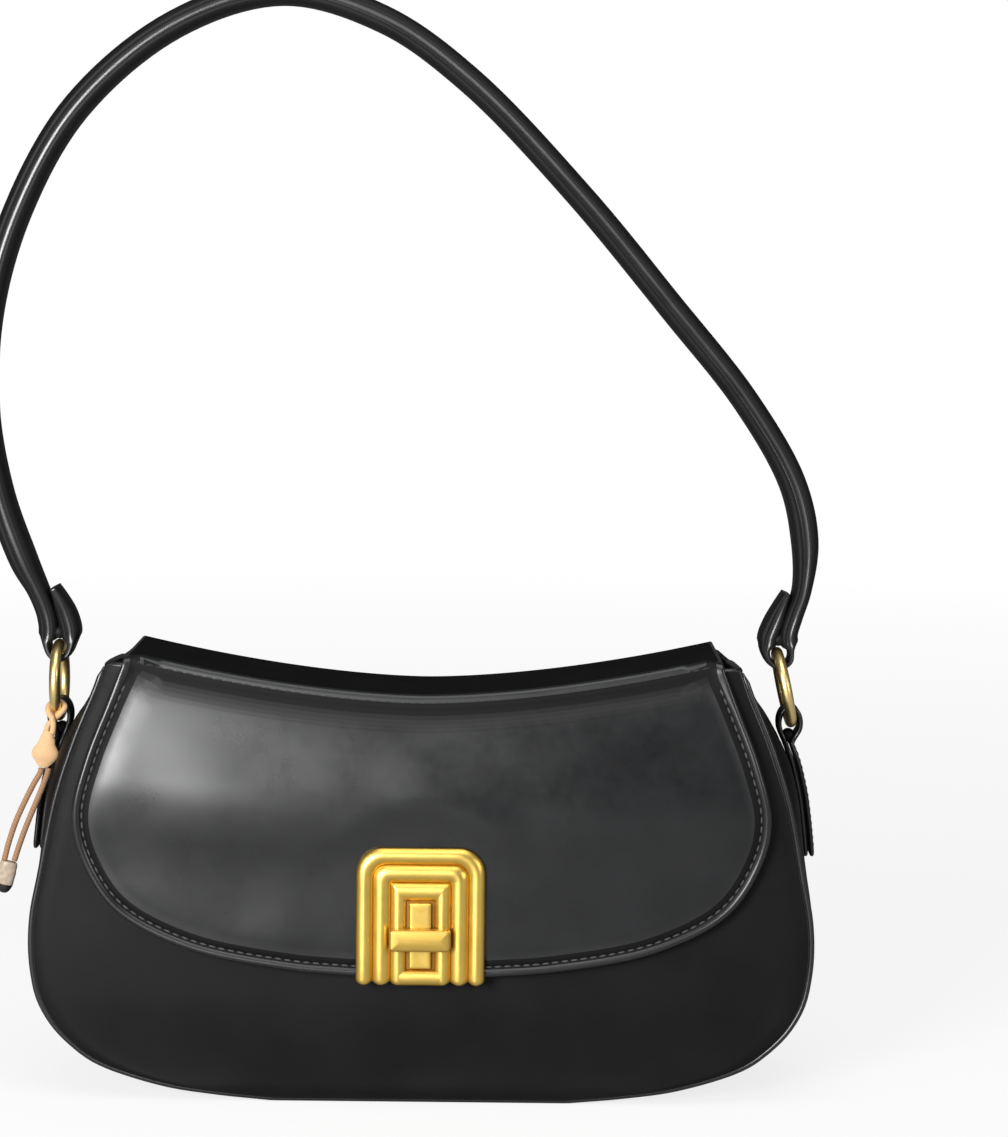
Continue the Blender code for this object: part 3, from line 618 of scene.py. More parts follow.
CORD = 0.95
LOOP_ROUTE = (
    (-121.4, -10.6, 116.4), (-121.0, -10.7, 118.8), (-121.4, -10.5, 121.4), (-122.9, -9.4, 123.6),
    (-123.0, -8.27, 124.6), (-122.5, -7.11, 125.59), (-120.4, -6.25, 126.45), (-118.3, -7.11, 125.59),
    (-117.6, -8.27, 124.7), (-118.6, -8.9, 123.2), (-121.3, -8.8, 120.6), (-123.2, -8.9, 118.4),
    (-123.4, -9.0, 116.4),
)
LEFT_ROUTE = (
    (-125.2, -9.7, 104.8), (-125.4, -9.7, 103.6), (-127.7, -9.5, 99.5), (-130.5, -9.2, 94.0),
    (-133.7, -9.0, 86.9), (-136.1, -8.9, 79.8), (-137.6, -8.9, 74.0),
)
RIGHT_ROUTE = (
    (-122.9, -9.7, 104.8), (-123.0, -9.7, 103.6), (-124.6, -9.5, 99.2), (-126.8, -9.2, 93.8),
    (-129.9, -9.0, 86.4), (-132.5, -8.9, 79.4), (-134.3, -8.9, 73.8),
)


def string_tube(name, route, material, node):
    path = even(smooth(route, 6), 60)
    piece = tube(name, path, CORD, material, 16)
    keep(piece, "bag_body", "string", node)
    return piece, path


def oval(name, rows, half_width, half_thick, height, matrix, materials, dark_under=None, sides=28):
    """A solid of oval slices, from (height share, width share) rows. Its lower end may be dark."""
    rows = smooth(rows, 4)
    loops = []
    for level_share, width_share in rows:
        loop = []
        for turn in circle(sides):
            spot = Vector((half_width * width_share * cos(turn), half_thick * width_share * sin(turn),
                           height * level_share))
            spot += Vector((1, 1, 0)) * ripple(spot, 2.2, 0.25)
            loop.append(matrix @ spot)
        loops.append(loop)
    picks = None
    if dark_under:
        picks = [int(row[0] < dark_under) for row in rows]
        picks = [pick for pick in picks[:-1] for _ in range(sides)] + [picks[0], picks[-1]]
    return shell(name, loops, materials, picks)


pale = Nodes("tip_pale", (0.72, 0.69, 0.62), 0.4)
pale.to("Base Color", pale.ramp(pale.noise(700, 3), (0.32, 0.25, 0.18), (0.42, 0.34, 0.26), 0.35, 0.65))
pale.bump(pale.noise(500), 0.12, 0.4)
dark = Nodes("tip_dark", (0.012, 0.011, 0.01), 0.45)
dark.to("Roughness", dark.ramp(dark.noise(400), 0.35, 0.55, 0.3, 0.7))
dark.bump(dark.noise(600), 0.1, 0.4)

loop_piece, _ = string_tube("string_loop", LOOP_ROUTE, knot_mat, "tag_cord_loop")
left_piece, left_path = string_tube("string_left", LEFT_ROUTE, string_mat, "tag_cord_left")
right_piece, right_path = string_tube("string_right", RIGHT_ROUTE, string_mat, "tag_cord_right")
KNOT_ROWS = ((-1.0, 0.32), (-0.86, 0.5), (-0.45, 0.93), (-0.28, 1.0), (-0.08, 0.96), (0.3, 0.66), (0.66, 0.5),
             (1.0, 0.4))
TIP_ROWS = ((0.0, 0.86), (-0.06, 0.97), (-0.35, 1.0), (-0.72, 0.88), (-0.92, 0.62), (-1.0, 0.3))
knot = oval("string_knot", KNOT_ROWS, 4.5, 2.3, 6.0, turned((-123.6, -9.7, 111.1), radians(8), "Y"),
            knot_mat)
keep(knot, "bag_body", "string", "tag_knot")
tip = oval("string_tip", TIP_ROWS, 3.0, 1.9, 10.5, turned((-135.96, -8.9, 73.5), radians(12), "Y"),
           [pale.material, dark.material], dark_under=-0.66)
keep(tip, "bag_body", "tip", "tag_tip")
for piece, path, partners in ((left_piece, left_path, [knot, loop_piece, tip]),
                              (right_piece, right_path, [tip])):
    length_of(path) * MM


# Panels and gusset


def panel_face(side, size):
    """A panel's outer face, swollen a little and slack near the base."""
    shares = eased(72, 0.6)
    grid = []
    for half, height in even(outline, 64):
        x = shares * (half - 1.0)
        z = height - sag(x) * ramp(0.6, 1, height / BODY_TOP) - ear(x, height) * ear_height(side)
        from_edge = np.minimum(np.abs(half - np.abs(x)) / 7, (height - BASE_DROP) / 7 + 0.12)
        tuck = (1 - ramp(0, 1, from_edge)) ** 2
        y = half_depth(z) + crown(x, z, size) - tuck
        slack = [ripple(spot, 34, 0.55) for spot in zip(x, [side * 40] * len(x), z)]
        grid.append(np.stack([x, side * (y + slack * ramp(0, 1.6, from_edge)), z], axis=1))
    return grid


hide("front_skin", panel_face(-1, FRONT_CROWN), PANEL, (0, -1, 0), "front_panel")
hide("back_skin", panel_face(1, BACK_CROWN), PANEL, (0, 1, 0), "back_panel")

full_outline = even(np.concatenate([(outline * [-1, 1])[::-1], outline]), 220)


def gusset_face():
    grid = []
    for (x, z), (out_x, out_z) in zip(full_outline, outward(full_outline)):
        reach = half_depth(z) - PANEL - GAP - 0.9
        slack = ramp(60, 120, z) * min(1, z / 40)
        row = []
        for share in np.linspace(-1, 1, 33):
            swell = 1 - (max(0, abs(share) - 0.5) / 0.5) ** 2
            out = bulge(z) * swell - 0.4 * (1 - swell)
            out += ripple((x, share * 30, z), 22, 0.5) * slack * swell
            tuck = np.sign(x) * 1.2 * (1 - share * share) * ramp(132, 142, z)
            level = z + out_z * out - ear(x, z) * ear_height(share)
            row.append((x + out_x * out - tuck, share * reach, level))
        grid.append(row)
    return grid


hide("gusset_skin", gusset_face(), GUSSET, (0, 0, -1), "gusset")

# Piping in the seam between each panel and the gusset
for label, side in (("front", -1), ("back", 1)):
    line = full_outline + outward(full_outline) * 0.1
    path = [(x, side * (half_depth(z) - 1.9), z - ear(x, z) * ear_height(side) - 0.8 * ramp(138, 142, z))
            for x, z in line]
    at = np.arange(len(path))
    trim(f"{label}_piping", path, np.minimum(1, np.minimum(at, at[::-1]) / 3 + 0.35))
# The bound edge at the top of the gusset, from ear to ear
for label, side in (("left", -1), ("right", 1)):
    path = [(side * (outline[-1, 0] - 0.6 - 1.3 * (1 - y * y)), y * (TOP_DEPTH - 2.2),
             BODY_TOP - EAR_DROP * ear_height(y) - 0.2) for y in np.linspace(-1, 1, 25)]
    trim(f"{label}_ear_binding", path, 0.35 + 1.65 * np.sqrt(np.sin(np.linspace(0.05, pi - 0.05, 25))), 14)


# Flap: a cut sheet in its flat plane, then folded over the bag

FOLD_LENGTH = pi / 2 * FOLD
SPINE_LENGTH = 50.0
SKIRT_LENGTH = 9.0
FLAT_TOP = 2 * FOLD_LENGTH + SPINE_LENGTH + SKIRT_LENGTH
RIDGE_START = RIDGE - FOLD
FRONT_DROP = RIDGE_START - FLAP_BOTTOM
flap_curve = smooth(FLAP_OUTLINE, 8)
flap_side = flap_curve * [FLAP_HALF, FRONT_DROP] - [0, FRONT_DROP]


def flap_place(u, v, depth):
    """Where a point of the flat cut goes on the bag, at a depth under the outer face."""
    top = RIDGE - dip(u)
    bend = FOLD - depth
    back_centre = HINGE_Y - FOLD
    front_centre = FOLD - flap_face(u, top - FOLD)
    if v <= 0:
        share = (RIDGE_START + v - FLAP_BOTTOM) / FRONT_DROP
        z = RIDGE_START + v - dip(u) * ramp(0.5, 1, share)
        return (u, depth - flap_face(u, z), z)
    if v < FOLD_LENGTH:
        turn = v / FOLD
        return (u, front_centre - bend * cos(turn), top - FOLD + bend * sin(turn))
    v -= FOLD_LENGTH
    if v <= SPINE_LENGTH:
        return (u, front_centre + (back_centre - front_centre) * v / SPINE_LENGTH, top - depth)
    v -= SPINE_LENGTH
    if v < FOLD_LENGTH:
        turn = v / FOLD
        return (u, back_centre + bend * sin(turn), top - FOLD + bend * cos(turn))
    share = (v - FOLD_LENGTH) / SKIRT_LENGTH
    return (u, HINGE_Y - depth, (top - FOLD) * (1 - share) + HINGE_Z * share)


CUT_POINTS = 640
# How far the pressed border and its stitch groove lie under the field, by distance from the edge
BORDER = ((0, 0.6), (0.4, 0.3), (0.8, 0.12), (1.2, 0.05), (1.7, 0.12), (2.1, 0.35), (2.5, 0.7), (2.9, 0.95),
          (3.3, 1.0), (3.8, 0.78), (4.4, 0.48), (6.2, 0.28), (8.8, 0.11), (12.5, 0))
LOOPS = (0.12, 0.4, 0.8, 1.2, 1.7, 2.1, 2.5, 2.9, 3.3, 3.7, 4.1, 4.7, 5.6, 6.8, 8.2, 9.8, 11.6)
# The pinched bead along the ridge and the groove in front of it, by distance down the front
RIDGE_ROWS = ((-10.0, 0), (-7.8, 0.15), (-6.6, -0.4), (-5.6, -1.4), (-4.7, -1.9), (-3.8, -1.5), (-2.9, -0.4),
              (-2.0, 0.35), (-0.6, 0.7), (1.2, 0.8), (3.0, 0.7), (6.0, 0.3), (9.5, 0))
STITCH_INSET = 3.3
EDGE_WIDTH = 1.3
# The closed outline of the flat cut, anticlockwise
half_cut = np.concatenate([flap_side[::-1], [(RIDGE_HALF, FOLD_LENGTH), (RIDGE_HALF, FLAT_TOP)]])
cut_line = even(np.concatenate([half_cut, half_cut[::-1] * [-1, 1], half_cut[:1]]), CUT_POINTS + 1)[:-1]


def inset_of(points, line):
    """Distance of each point from a closed line."""
    found = np.full(len(points), 1e9)
    for start, run in zip(line, np.roll(line, -1, axis=0) - line):
        along = np.clip(((points - start) @ run) / (run @ run), 0, 1)
        found = np.minimum(found, norm(points - start - along[:, None] * run, axis=1))
    return found


def inward(line, inset):
    """A closed line moved in, without the points that would cross over at its corners."""
    moved = line - outward(np.concatenate([line[-1:], line, line[:1]]))[1:-1] * inset
    return moved[inset_of(moved, line) > inset - 0.02]


def press(inset, v):
    """How far the flap's outer face lies under its field."""
    depth = np.interp(inset, *zip(*BORDER)) * (1 - ramp(-16, 0, v))
    return depth + np.interp(-v, *zip(*RIDGE_ROWS), left=0) * ramp(0.3, 5, inset)


def flap_flat():
    """The flat cut as a net of triangles, finer along its edges and its folds."""
    levels = [-0.2 - 0.5 * k for k in range(16)]
    levels += [FOLD_LENGTH * k / 10 for k in range(11)]
    levels += [FOLD_LENGTH + 0.5 * k for k in range(1, 10)]
    levels += [FOLD_LENGTH + SPINE_LENGTH + FOLD_LENGTH * k / 6 for k in range(7)]
    levels += list(np.arange(FOLD_LENGTH + 6.4, FOLD_LENGTH + SPINE_LENGTH - 2, 3.2))
    levels += list(np.arange(-11, -FRONT_DROP, -3.0))
    field = np.array([(u, v) for v in levels for u in np.arange(-RIDGE_HALF - 16, RIDGE_HALF + 17, 2.4)])
    inside = np.abs(field[:, 0]) < reach_at(half_cut, field[:, 1])
    field = field[inside & (inset_of(field, cut_line) > 12.8)]
    spots = np.concatenate([cut_line, *(inward(cut_line, inset) for inset in LOOPS), field])
    edges = [(i, (i + 1) % CUT_POINTS) for i in range(CUT_POINTS)]
    found = geometry.delaunay_2d_cdt([Vector(p) for p in spots], edges, [], 1, 1e-5)
    return np.array(found[0]), found[2]


def rounded(inset):
    """How far each face of the sheet comes in at its rounded edge."""
    near = FLAP / 2 - np.minimum(inset, FLAP / 2)
    return FLAP / 2 - np.sqrt(np.maximum(0, (FLAP / 2) ** 2 - near ** 2))


def front_zone(inset, v):
    """The material of a face of the outer side, by its inset and its place down the front."""
    if inset < EDGE_WIDTH:
        return 1
    if v > FOLD_LENGTH + 2.4:
        return 3
    if inset < 2.6:
        return 0
    if inset < 5.7 or -1.75 < v < 2.2:
        return 4
    step = int((-0.25 - v) / 1.5)
    return 4 + step if v < 0 and step < 5 else 0


def build_flap():
    flat, faces = flap_flat()
    inset = inset_of(flat, cut_line)
    inner = inset >= 1e-3
    outer = []
    under = []
    for (u, v), d, has_inner in zip(flat, inset, inner):
        # Slack lies in the field alone, away from the edges, the ridge and the lock
        slack = ripple((u, v, 3), 30, 0.5) * ramp(0, 14, d) * ramp(-12, -26, v)
        slack *= ramp(24, 46, np.hypot(u, v + 78))
        down = press(d, v) + slack
        outer.append(flap_place(u, v, down + rounded(d)))
        if has_inner:
            under.append(flap_place(u, v, FLAP + 0.75 * down - rounded(d)))
    partner = np.where(inner, len(flat) - 1 + np.cumsum(inner), np.arange(len(flat)))
    sides = faces + [partner[face[::-1]] for face in faces]
    near = [inset[face].max() for face in faces]
    low = [flat[face, 1].min() for face in faces]
    picks = [front_zone(d, v) for d, v in zip(near, low)]
    picks += [1 if d < EDGE_WIDTH else 2 for d in near]
    materials = [flap_leather, edge_paint, suede, spine_leather, border_leather, *front_blend]
    skin = add("flap_skin", outer + under, sides, materials, picks)
    # The field and the bead along the edge shine most, and a strip over the ridge's fold
    gloss = ramp(4.8, 8.5, inset) * ramp(-1, -9, flat[:, 1]) + 0.8 * (inset < 2.6)
    gloss += 0.7 * ramp(2.4, 3.8, flat[:, 1]) * (1 - ramp(5.5, 7.0, flat[:, 1])) * (inset > 5.5)
    mark(skin, "gloss", np.concatenate([gloss, gloss[inner]]))
    return skin


lock_frame = turned((0, -flap_face(0, PLATE_Z), PLATE_Z), pi / 2 - LEAN, "X")
lock_frame = lock_frame @ Matrix.Translation((0, 0, GAP))
TOGGLE_Y = -7.0
SPINDLE_HOLE = (0, TOGGLE_Y, 2.3)


def pierce(piece, x, y, radius):
    """Cuts a round hole through the flap's layers, where a spindle or a screw passes."""
    frame = Matrix.Scale(MM, 4) @ (lock_frame @ Matrix.Translation((x, y, -2)))
    mesh = bpy.data.meshes.new("hole")
    rework(mesh, lambda tool: bmesh.ops.create_cone(
        tool, cap_ends=True, segments=20, radius1=radius, radius2=radius, depth=14, matrix=frame))
    cutter = in_scene("hole", mesh)
    step = piece.modifiers.new("hole", "BOOLEAN")
    step.operation = "DIFFERENCE"
    step.solver = "EXACT"
    step.object = cutter
    with bpy.context.temp_override(object=piece, active_object=piece):
        bpy.ops.object.modifier_apply(modifier=step.name)
    bpy.data.objects.remove(cutter, do_unlink=True)


HOLES = (SPINDLE_HOLE, (-12.98, 6.0, 1.3), (12.98, 6.0, 1.3))
flap = build_flap()
for hole in HOLES:
    pierce(flap, *hole)
keep(flap, "flap", "leather", "flap")


def surface_run(places):
    """Spots on the flap's outer face, and its normals there, for a run of flat places."""
    found = []
    for (u, v), d in zip(places, inset_of(np.array(places), cut_line)):
        spot, across, along = [Vector(flap_place(u + a, v + b, press(d, v)))
                               for a, b in ((0, 0), (0.5, 0), (0, 0.5))]
        found.append((spot, (across - spot).cross(along - spot).normalized()))
    return zip(*found)


# The border's seam starts at its one gap, under the ridge
seam = inward(cut_line, STITCH_INSET)
seam = seam[seam[:, 1] < -4.5]
start = int(np.argmax(norm(seam - np.roll(seam, 1, axis=0), axis=1)))
stitches("flap_stitches", "flap", *surface_run(np.roll(seam, -start, axis=0)), 2.3, 0.75, 0.62, 0.3)
ridge_line = [(u, 2.6) for u in np.linspace(-RIDGE_HALF + 4, RIDGE_HALF - 4, 90)]
stitches("ridge_stitches", "flap", *surface_run(ridge_line), 2.4, 0.8, 0.5, 0.2, dark_thread)


def facing_column(share):
    """The flap's inner facing down one column, over the top and down the front."""
    depth = FLAP + GAP
    x = share * (RIDGE_HALF - 2.5)
    points = [flap_place(x, v, depth) for v in np.linspace(FOLD_LENGTH + SPINE_LENGTH, FOLD_LENGTH, 18)]
    points += [flap_place(x, v, depth) for v in np.linspace(FOLD_LENGTH, 0, 7)[1:-1]]
    for half, height in flap_curve:
        x = share * (half * FLAP_HALF - 3.0)
        z = FLAP_BOTTOM + 3.0 + height * (FRONT_DROP - 3.0)
        z -= dip(x) * ramp(0.5, 1, height)
        points.append((x, depth - flap_face(x, z), z))
    return points


facing_grid = np.array([facing_column(share) for share in eased(41, 0.5)]).transpose(1, 0, 2)
facing = sheet("flap_facing", facing_grid, 1.0, suede, (0, -1, 0), 3)
for hole in HOLES:
    pierce(facing, *hole)
keep(facing, "flap", "lining", "flap_lining")


# Back yoke, sewn on the back under the fold

yoke_grid = []
for share in np.linspace(0, 1, 16):
    z = HINGE_Z - GAP - 0.8 - 18.4 * (1 - share)
    half = (RIDGE_HALF - 2.8) * (0.93 + 0.07 * ramp(0, 0.5, share))
    x = np.linspace(-half, half, 60)
    y = half_depth(z) + crown(x, z, BACK_CROWN) + GAP + FLAP
    yoke_grid.append(np.stack([x, y, np.full(60, z)], axis=1))
yoke_grid = np.array(yoke_grid)
hide("yoke_skin", yoke_grid, FLAP, (0, 1, 0), "back_yoke")
line = [*yoke_grid[14:1:-1, 1], *yoke_grid[1, 1:-1], *yoke_grid[2:15, -2]]
stitches("yoke_stitches", "bag_body", line, [(0, 1, 0)] * len(line), 2.3, 0.8, 0.6, 0.28)


# Lining, with a facing round its mouth, and the slip pocket on its back wall

LINING_GAP = 0.4
LINING_BOTTOM = 5.6
POCKET_BOTTOM = 54.0
POCKET_HALF = 55.2


def lining_loop(half, z, shrink):
    half_x = half - shrink
    half_y = half_depth(z) - PANEL - LINING_GAP - shrink
    corner = 6.0 - shrink
    rise = ramp(0.6, 1, z / BODY_TOP)
    spots = []
    for turn in circle(120):
        c, s = cos(turn), sin(turn)
        x = (half_x - corner) * np.clip(c * 1.5, -1, 1) + corner * c
        y = (half_y - corner) * np.clip(s * 1.9, -1, 1) + corner * s
        drop = (sag(x) + 1.0) * rise + ear(abs(x) + 2.8, z)
        slack = (0.3 + ripple((x, y, z), 18, 0.9)) * (1 - rise)
        spots.append((x, y - np.sign(y) * max(0, slack) * (shrink > 0), z - drop))
    return spots


outer = []
inner = []
for half, height in even(outline, 34):
    half -= 2.8 + 1.4 * (1 - ramp(0, 0.2, height / BODY_TOP))
    z = LINING_BOTTOM + (height - BASE_DROP) * (BODY_TOP - LINING_BOTTOM) / PANEL_HEIGHT
    outer.append(lining_loop(half, z, 0))
    inner.append(lining_loop(half, z + 1 - ramp(0.1, 0.9, z / BODY_TOP), 1.0))
lining = shell("lining_bag", outer + inner[::-1], lining_cloth)
keep(lining, "bag_body", "lining", "lining")
trim("lining_binding", np.mean([outer[-1], inner[-1]], axis=0), 0.75, closed=True)

pocket_back = half_depth(POCKET_BOTTOM) - PANEL - LINING_GAP - 1.0 - GAP
pocket_frame = turned((0, pocket_back, POCKET_BOTTOM), LEAN, "X")
pocket_rows = []
for v in np.linspace(0.8, POCKET_HALF, 30):
    row = []
    for u in eased(49, 1) * POCKET_HALF:
        depth = 1.3 + 6.7 * ramp(0, 4.5, 55.6 - abs(u)) * ramp(-0.6, 4, v)
        depth -= 0.5 * max(0, ripple((u, 0, v), 16, 1.6)) * ramp(6, 14, 55 - abs(u))
        row.append(pocket_frame @ Vector((u, -depth + 0.1, v)))
    pocket_rows.append(row)
pocket = sheet("pocket_cloth", pocket_rows, 1.0, lining_cloth, (0, -1, 0), 3)
keep(pocket, "bag_body", "lining", "slip_pocket")
trim("pocket_hem", np.array(pocket_rows[-1]) + [0, 0.3, -0.3], 0.8, 8)


# Tabs, folded round the foot of each ring and sewn on the gusset

# The gusset's outer face, that the tabs lie on
gusset_line = outline + outward(outline) * bulge(outline[:, 1])[:, None]
TAB_NECK = 114.5
TAB_FOOT = 77.0
TAB_X = reach_at(gusset_line, TAB_NECK) + 2.4
TAB = 1.5


def build_tab(name, side, node, loop_radius):
    foot_z = RING_Z - RING_RADIUS * cos(RING_TILT)
    levels = np.linspace(TAB_FOOT + TAB / 2, TAB_NECK, 30)
    inner, outer = [[(reach_at(gusset_line, z) + offset * 1.06, z) for z in levels]
                    for offset in (GAP + TAB / 2, GAP + TAB * 1.5 + 0.45)]
    turns = [radians(-25 + 230 * k / 32) for k in range(0, 33, 2)]
    loop = [(TAB_X + loop_radius * cos(a), foot_z + 5.2 * sin(a)) for a in turns]
    route = even(smooth(outer[::4] + outer[-1:] + loop + inner[::-1][::4] + inner[:1], 6), 190)
    grid = []
    for (x, z), (_, level) in zip(route + outward(route) * TAB / 2, route):
        neck = ramp(TAB_NECK - 4, TAB_NECK + 3, level)
        half = 5.25 - 1.5 * neck
        foot = max(0.0, TAB_FOOT + 3.2 - level)
        half -= 3.0 - sqrt(max(0, 9.0 - foot * foot)) if foot < 3.0 else 2.6
        grid.append([(side * (x + 0.25 * neck * (s * s - 0.5)), s * half, z) for s in np.linspace(-1, 1, 13)])
    hide(name, grid, TAB, (side * 0.2, 0, 1), node)
    core(f"{name}_core", side * (TAB_X - 0.1), foot_z - 4.4, 3.3, (1.2, 1.9, 2.1, 2.2, 2.2), body_leather,
         "bag_body", "leather")
    grid = np.array(grid)
    neck = int(np.argmax(route[:, 1] > TAB_NECK - 2.5))
    line = [*grid[neck:3:-1, 2], *grid[3, 2:-2], *grid[4:neck, -3]]
    stitches(f"{name}_stitches", "bag_body", line, [(side, 0, 0)] * len(line), 1.7, 0.6, 0.5, 0.26)


build_tab("left_tab", -1, "tab_left", 3.25)
build_tab("right_tab", 1, "tab_right", 3.5)


# Strap: rolled leather with a seam along each edge, and folded ends round the rings

STRAP_REACH = 120.4
STRAP_RISE = 224.1
# The free strap's middle line, in shares of its reach and rise from the rings
STRAP_SHARES = (
    (-1.0955, 0.1754), (-1.1595, 0.2735), (-1.1985, 0.3985), (-1.1836, 0.5413), (-1.1063, 0.6841),
    (-0.9468, 0.8336), (-0.6811, 0.9527), (-0.3945, 1.0), (-0.1246, 0.9621), (0.1063, 0.8768),
    (0.407, 0.7126), (0.6537, 0.556), (0.8638, 0.4177), (0.9925, 0.3003), (1.0291, 0.2155),
)
# Each folded end's middle line from the strap round the ring, in ring radii, with half its thickness
LEFT_END = (
    (-0.581, 2.547, 3.4), (-0.35, 1.949, 3.0), (-0.27, 1.521, 3.0), (-0.285, 1.28, 3.1), (-0.335, 1.09, 1.4),
    (-0.239, 0.769, 1.0), (-0.009, 0.594, 1.0), (0.255, 0.752, 1.0), (0.37, 1.08, 1.6), (0.345, 1.27, 3.1),
    (0.33, 1.462, 3.1), (0.21, 1.906, 2.9), (0.02, 2.359, 2.0), (-0.12, 2.641, 1.4),
)
RIGHT_END = (
    (0.444, 2.761, 3.1), (0.225, 2.034, 2.8), (0.085, 1.521, 2.8), (0.105, 1.28, 3.0), (0.16, 1.08, 1.2),
    (0.137, 0.761, 1.0), (-0.145, 0.594, 1.0), (-0.45, 0.77, 1.1), (-0.56, 1.08, 1.8), (-0.505, 1.26, 3.1),
    (-0.48, 1.436, 3.0), (-0.32, 1.863, 2.9), (-0.14, 2.333, 2.0), (0.01, 2.675, 1.4),
)


def strap_end(shares, ring_x):
    rows = []
    for x, z, thick in shares:
        thick *= 1 + 0.12 * ramp(1.2, 1.5, z) * (1 - ramp(2.4, 2.6, z))
        rows.append((ring_x + x * RING_RADIUS, RING_Z + z * RING_RADIUS, thick,
                     5.5 + 1.5 * ramp(2.0, 3.2, z)))
    return rows


def build_strap():
    rows = strap_end(LEFT_END, RING_LEFT)[::-1]
    rows += [(x * STRAP_REACH, RING_Z + z * STRAP_RISE, 4.4, 7.0) for x, z in STRAP_SHARES]
    path = even(smooth(rows + strap_end(RIGHT_END, RING_RIGHT), 10), 620)
    sides = 44
    loops = []
    for (x, z, half_thick, half_width), (out_x, out_z) in zip(path, outward(path[:, :2])):
        full = ramp(1.6, 3.6, half_thick)
        loop = []
        for turn in circle(sides):
            c, s = cos(turn), sin(turn)
            across = np.sign(c) * abs(c) ** (0.55 + 0.2 * full) * half_thick
            along = np.sign(s) * abs(s) ** 0.55 * half_width
            along -= np.sign(s) * max(0.0, 1 - abs(c) / 0.3) * (0.25 + 0.6 * full)
            across *= 1 + 0.012 * ripple((x, along, z), 24, 1.0)
            loop.append((x + out_x * across, along, z + out_z * across))
        loops.append(loop)
    seams = [int(abs(cos(turn + pi / sides)) < 0.16) for turn in circle(sides)]
    return shell("strap_roll", loops, [strap_leather, edge_paint], seams * (len(loops) - 1) + [1, 1])


keep(build_strap(), "strap", "strap_leather", "strap")
for name, x in (("left_strap_core", RING_LEFT + 0.4), ("right_strap_core", RING_RIGHT - 2.3)):
    core(name, x, RING_Z + 16.1, 4.6, (1.2, 2.0, 2.2, 2.3, 2.3), strap_leather, "strap", "strap_leather")


# Rings


def build_ring(name, x, tilt, body):
    frame = turned((x, 0, RING_Z), -tilt, "Y")
    wire = [(WIRE * sin(b), RING_RADIUS + WIRE * cos(b)) for b in circle(24)]
    loops = [[frame @ Vector((out, radius * sin(a), radius * cos(a))) for out, radius in wire]
             for a in circle(96)]
    keep(shell(name, loops, ring_gold, closed=True), body, "ring_gold", body)


build_ring("left_ring", RING_LEFT, 0, "ring_left")
build_ring("right_ring", RING_RIGHT, RING_TILT, "ring_right")


# Lock: three nested half-round ribs, a sill, the boss in the window and the turn bar

PLATE_W = 20.6
PLATE_H = 22.1
RIBS = ((0, 5.3), (5.3, 5.7), (11.0, 5.1))
RIB_TOP = 2.6
SILL = 5.2
# Levels and radii of the turn bar's spindle, with the groove for its clip
SPINDLE = ((-6.0, 2.0), (-5.6, 2.0), (-5.6, 1.4), (-4.5, 1.4), (-4.5, 2.0), (4.0, 2.0))


def on_lock(x, y, z):
    return lock_frame @ Vector((x, y, z))


def plate_rows():
    """Inset, height and crest share across the ribs, which meet at the bottom of each groove."""
    rows = []
    for start, width in RIBS:
        for t in rounding(15):
            crest = sin(pi * t) ** 0.75
            floor = 0.8 if start + t == 0 else 1.0
            rows.append((start + t * width, floor + (RIB_TOP - floor) * crest, crest))
    return rows


def arch(inset, crest):
    """The plate's outline at an inset, from its left foot over the top to the right one."""
    half = PLATE_W - inset
    top = PLATE_H - inset - 0.9 * min(1, max(0, (inset - 11.8) / 4.3))
    corner = max(8.4 * (1 - inset / 11.8), 0.4)
    foot = -PLATE_H + 1.4 * (1 - crest)
    left = [(-half, foot + 1.8 * (1 - cos(a))) for a in quarter(6)]
    left += [(-half, foot + 1.8 + (top - corner - foot - 1.8) * k / 8) for k in range(1, 8)]
    left += [(-half + corner * (1 - cos(a)), top - corner * (1 - sin(a))) for a in quarter(12)]
    middle = [((-half + corner) * (1 - k / 5), top) for k in range(1, 5)]
    return left + middle + [(0, top)] + [(-x, y) for x, y in reversed(left + middle)]


def crisp(piece, angle=42):
    piece.data.set_sharp_from_angle(angle=radians(angle))
    return piece


def build_plate():
    face = []
    back = []
    rows = plate_rows()
    for inset, height, crest in rows:
        places = arch(inset, crest)
        row = []
        for i, (x, y) in enumerate(places):
            fall = sin(pi / 2 * min(i, len(places) - 1 - i, 6) / 6)
            row.append(on_lock(x, y, 0.8 + (height - 0.8) * fall))
        face.append(row)
        back.append([on_lock(x, y, 0) for x, y in places])
    plate = crisp(solid("lock_arch", face, back, [], rib_gold))
    # The crest values set the painted shade in the grooves between the ribs
    crests = [crest for _, _, crest in rows for _ in face[0]]
    mark(plate, "crest", crests + [0.0] * len(crests))
    keep(plate, "flap", "gold", "lock_plate")
    shares = rounding(13)
    curve = [(t * SILL, 0.9 + 1.7 * sqrt(max(0, 1 - (1 - 2 * t) ** 2))) for t in shares]
    loops = [[on_lock(x, -PLATE_H + y, z) for y, z in [(0, 0), *curve, (SILL, 0)]]
             for x in np.linspace(-6.6, 6.6, 9)]
    sill = crisp(shell("lock_sill", loops, rib_gold))
    # The sill's crest values set painted shade along its two edges
    mark(sill, "crest", [0.0, *(sin(pi * t) for t in shares), 0.0] * len(loops))
    keep(sill, "flap", "gold")


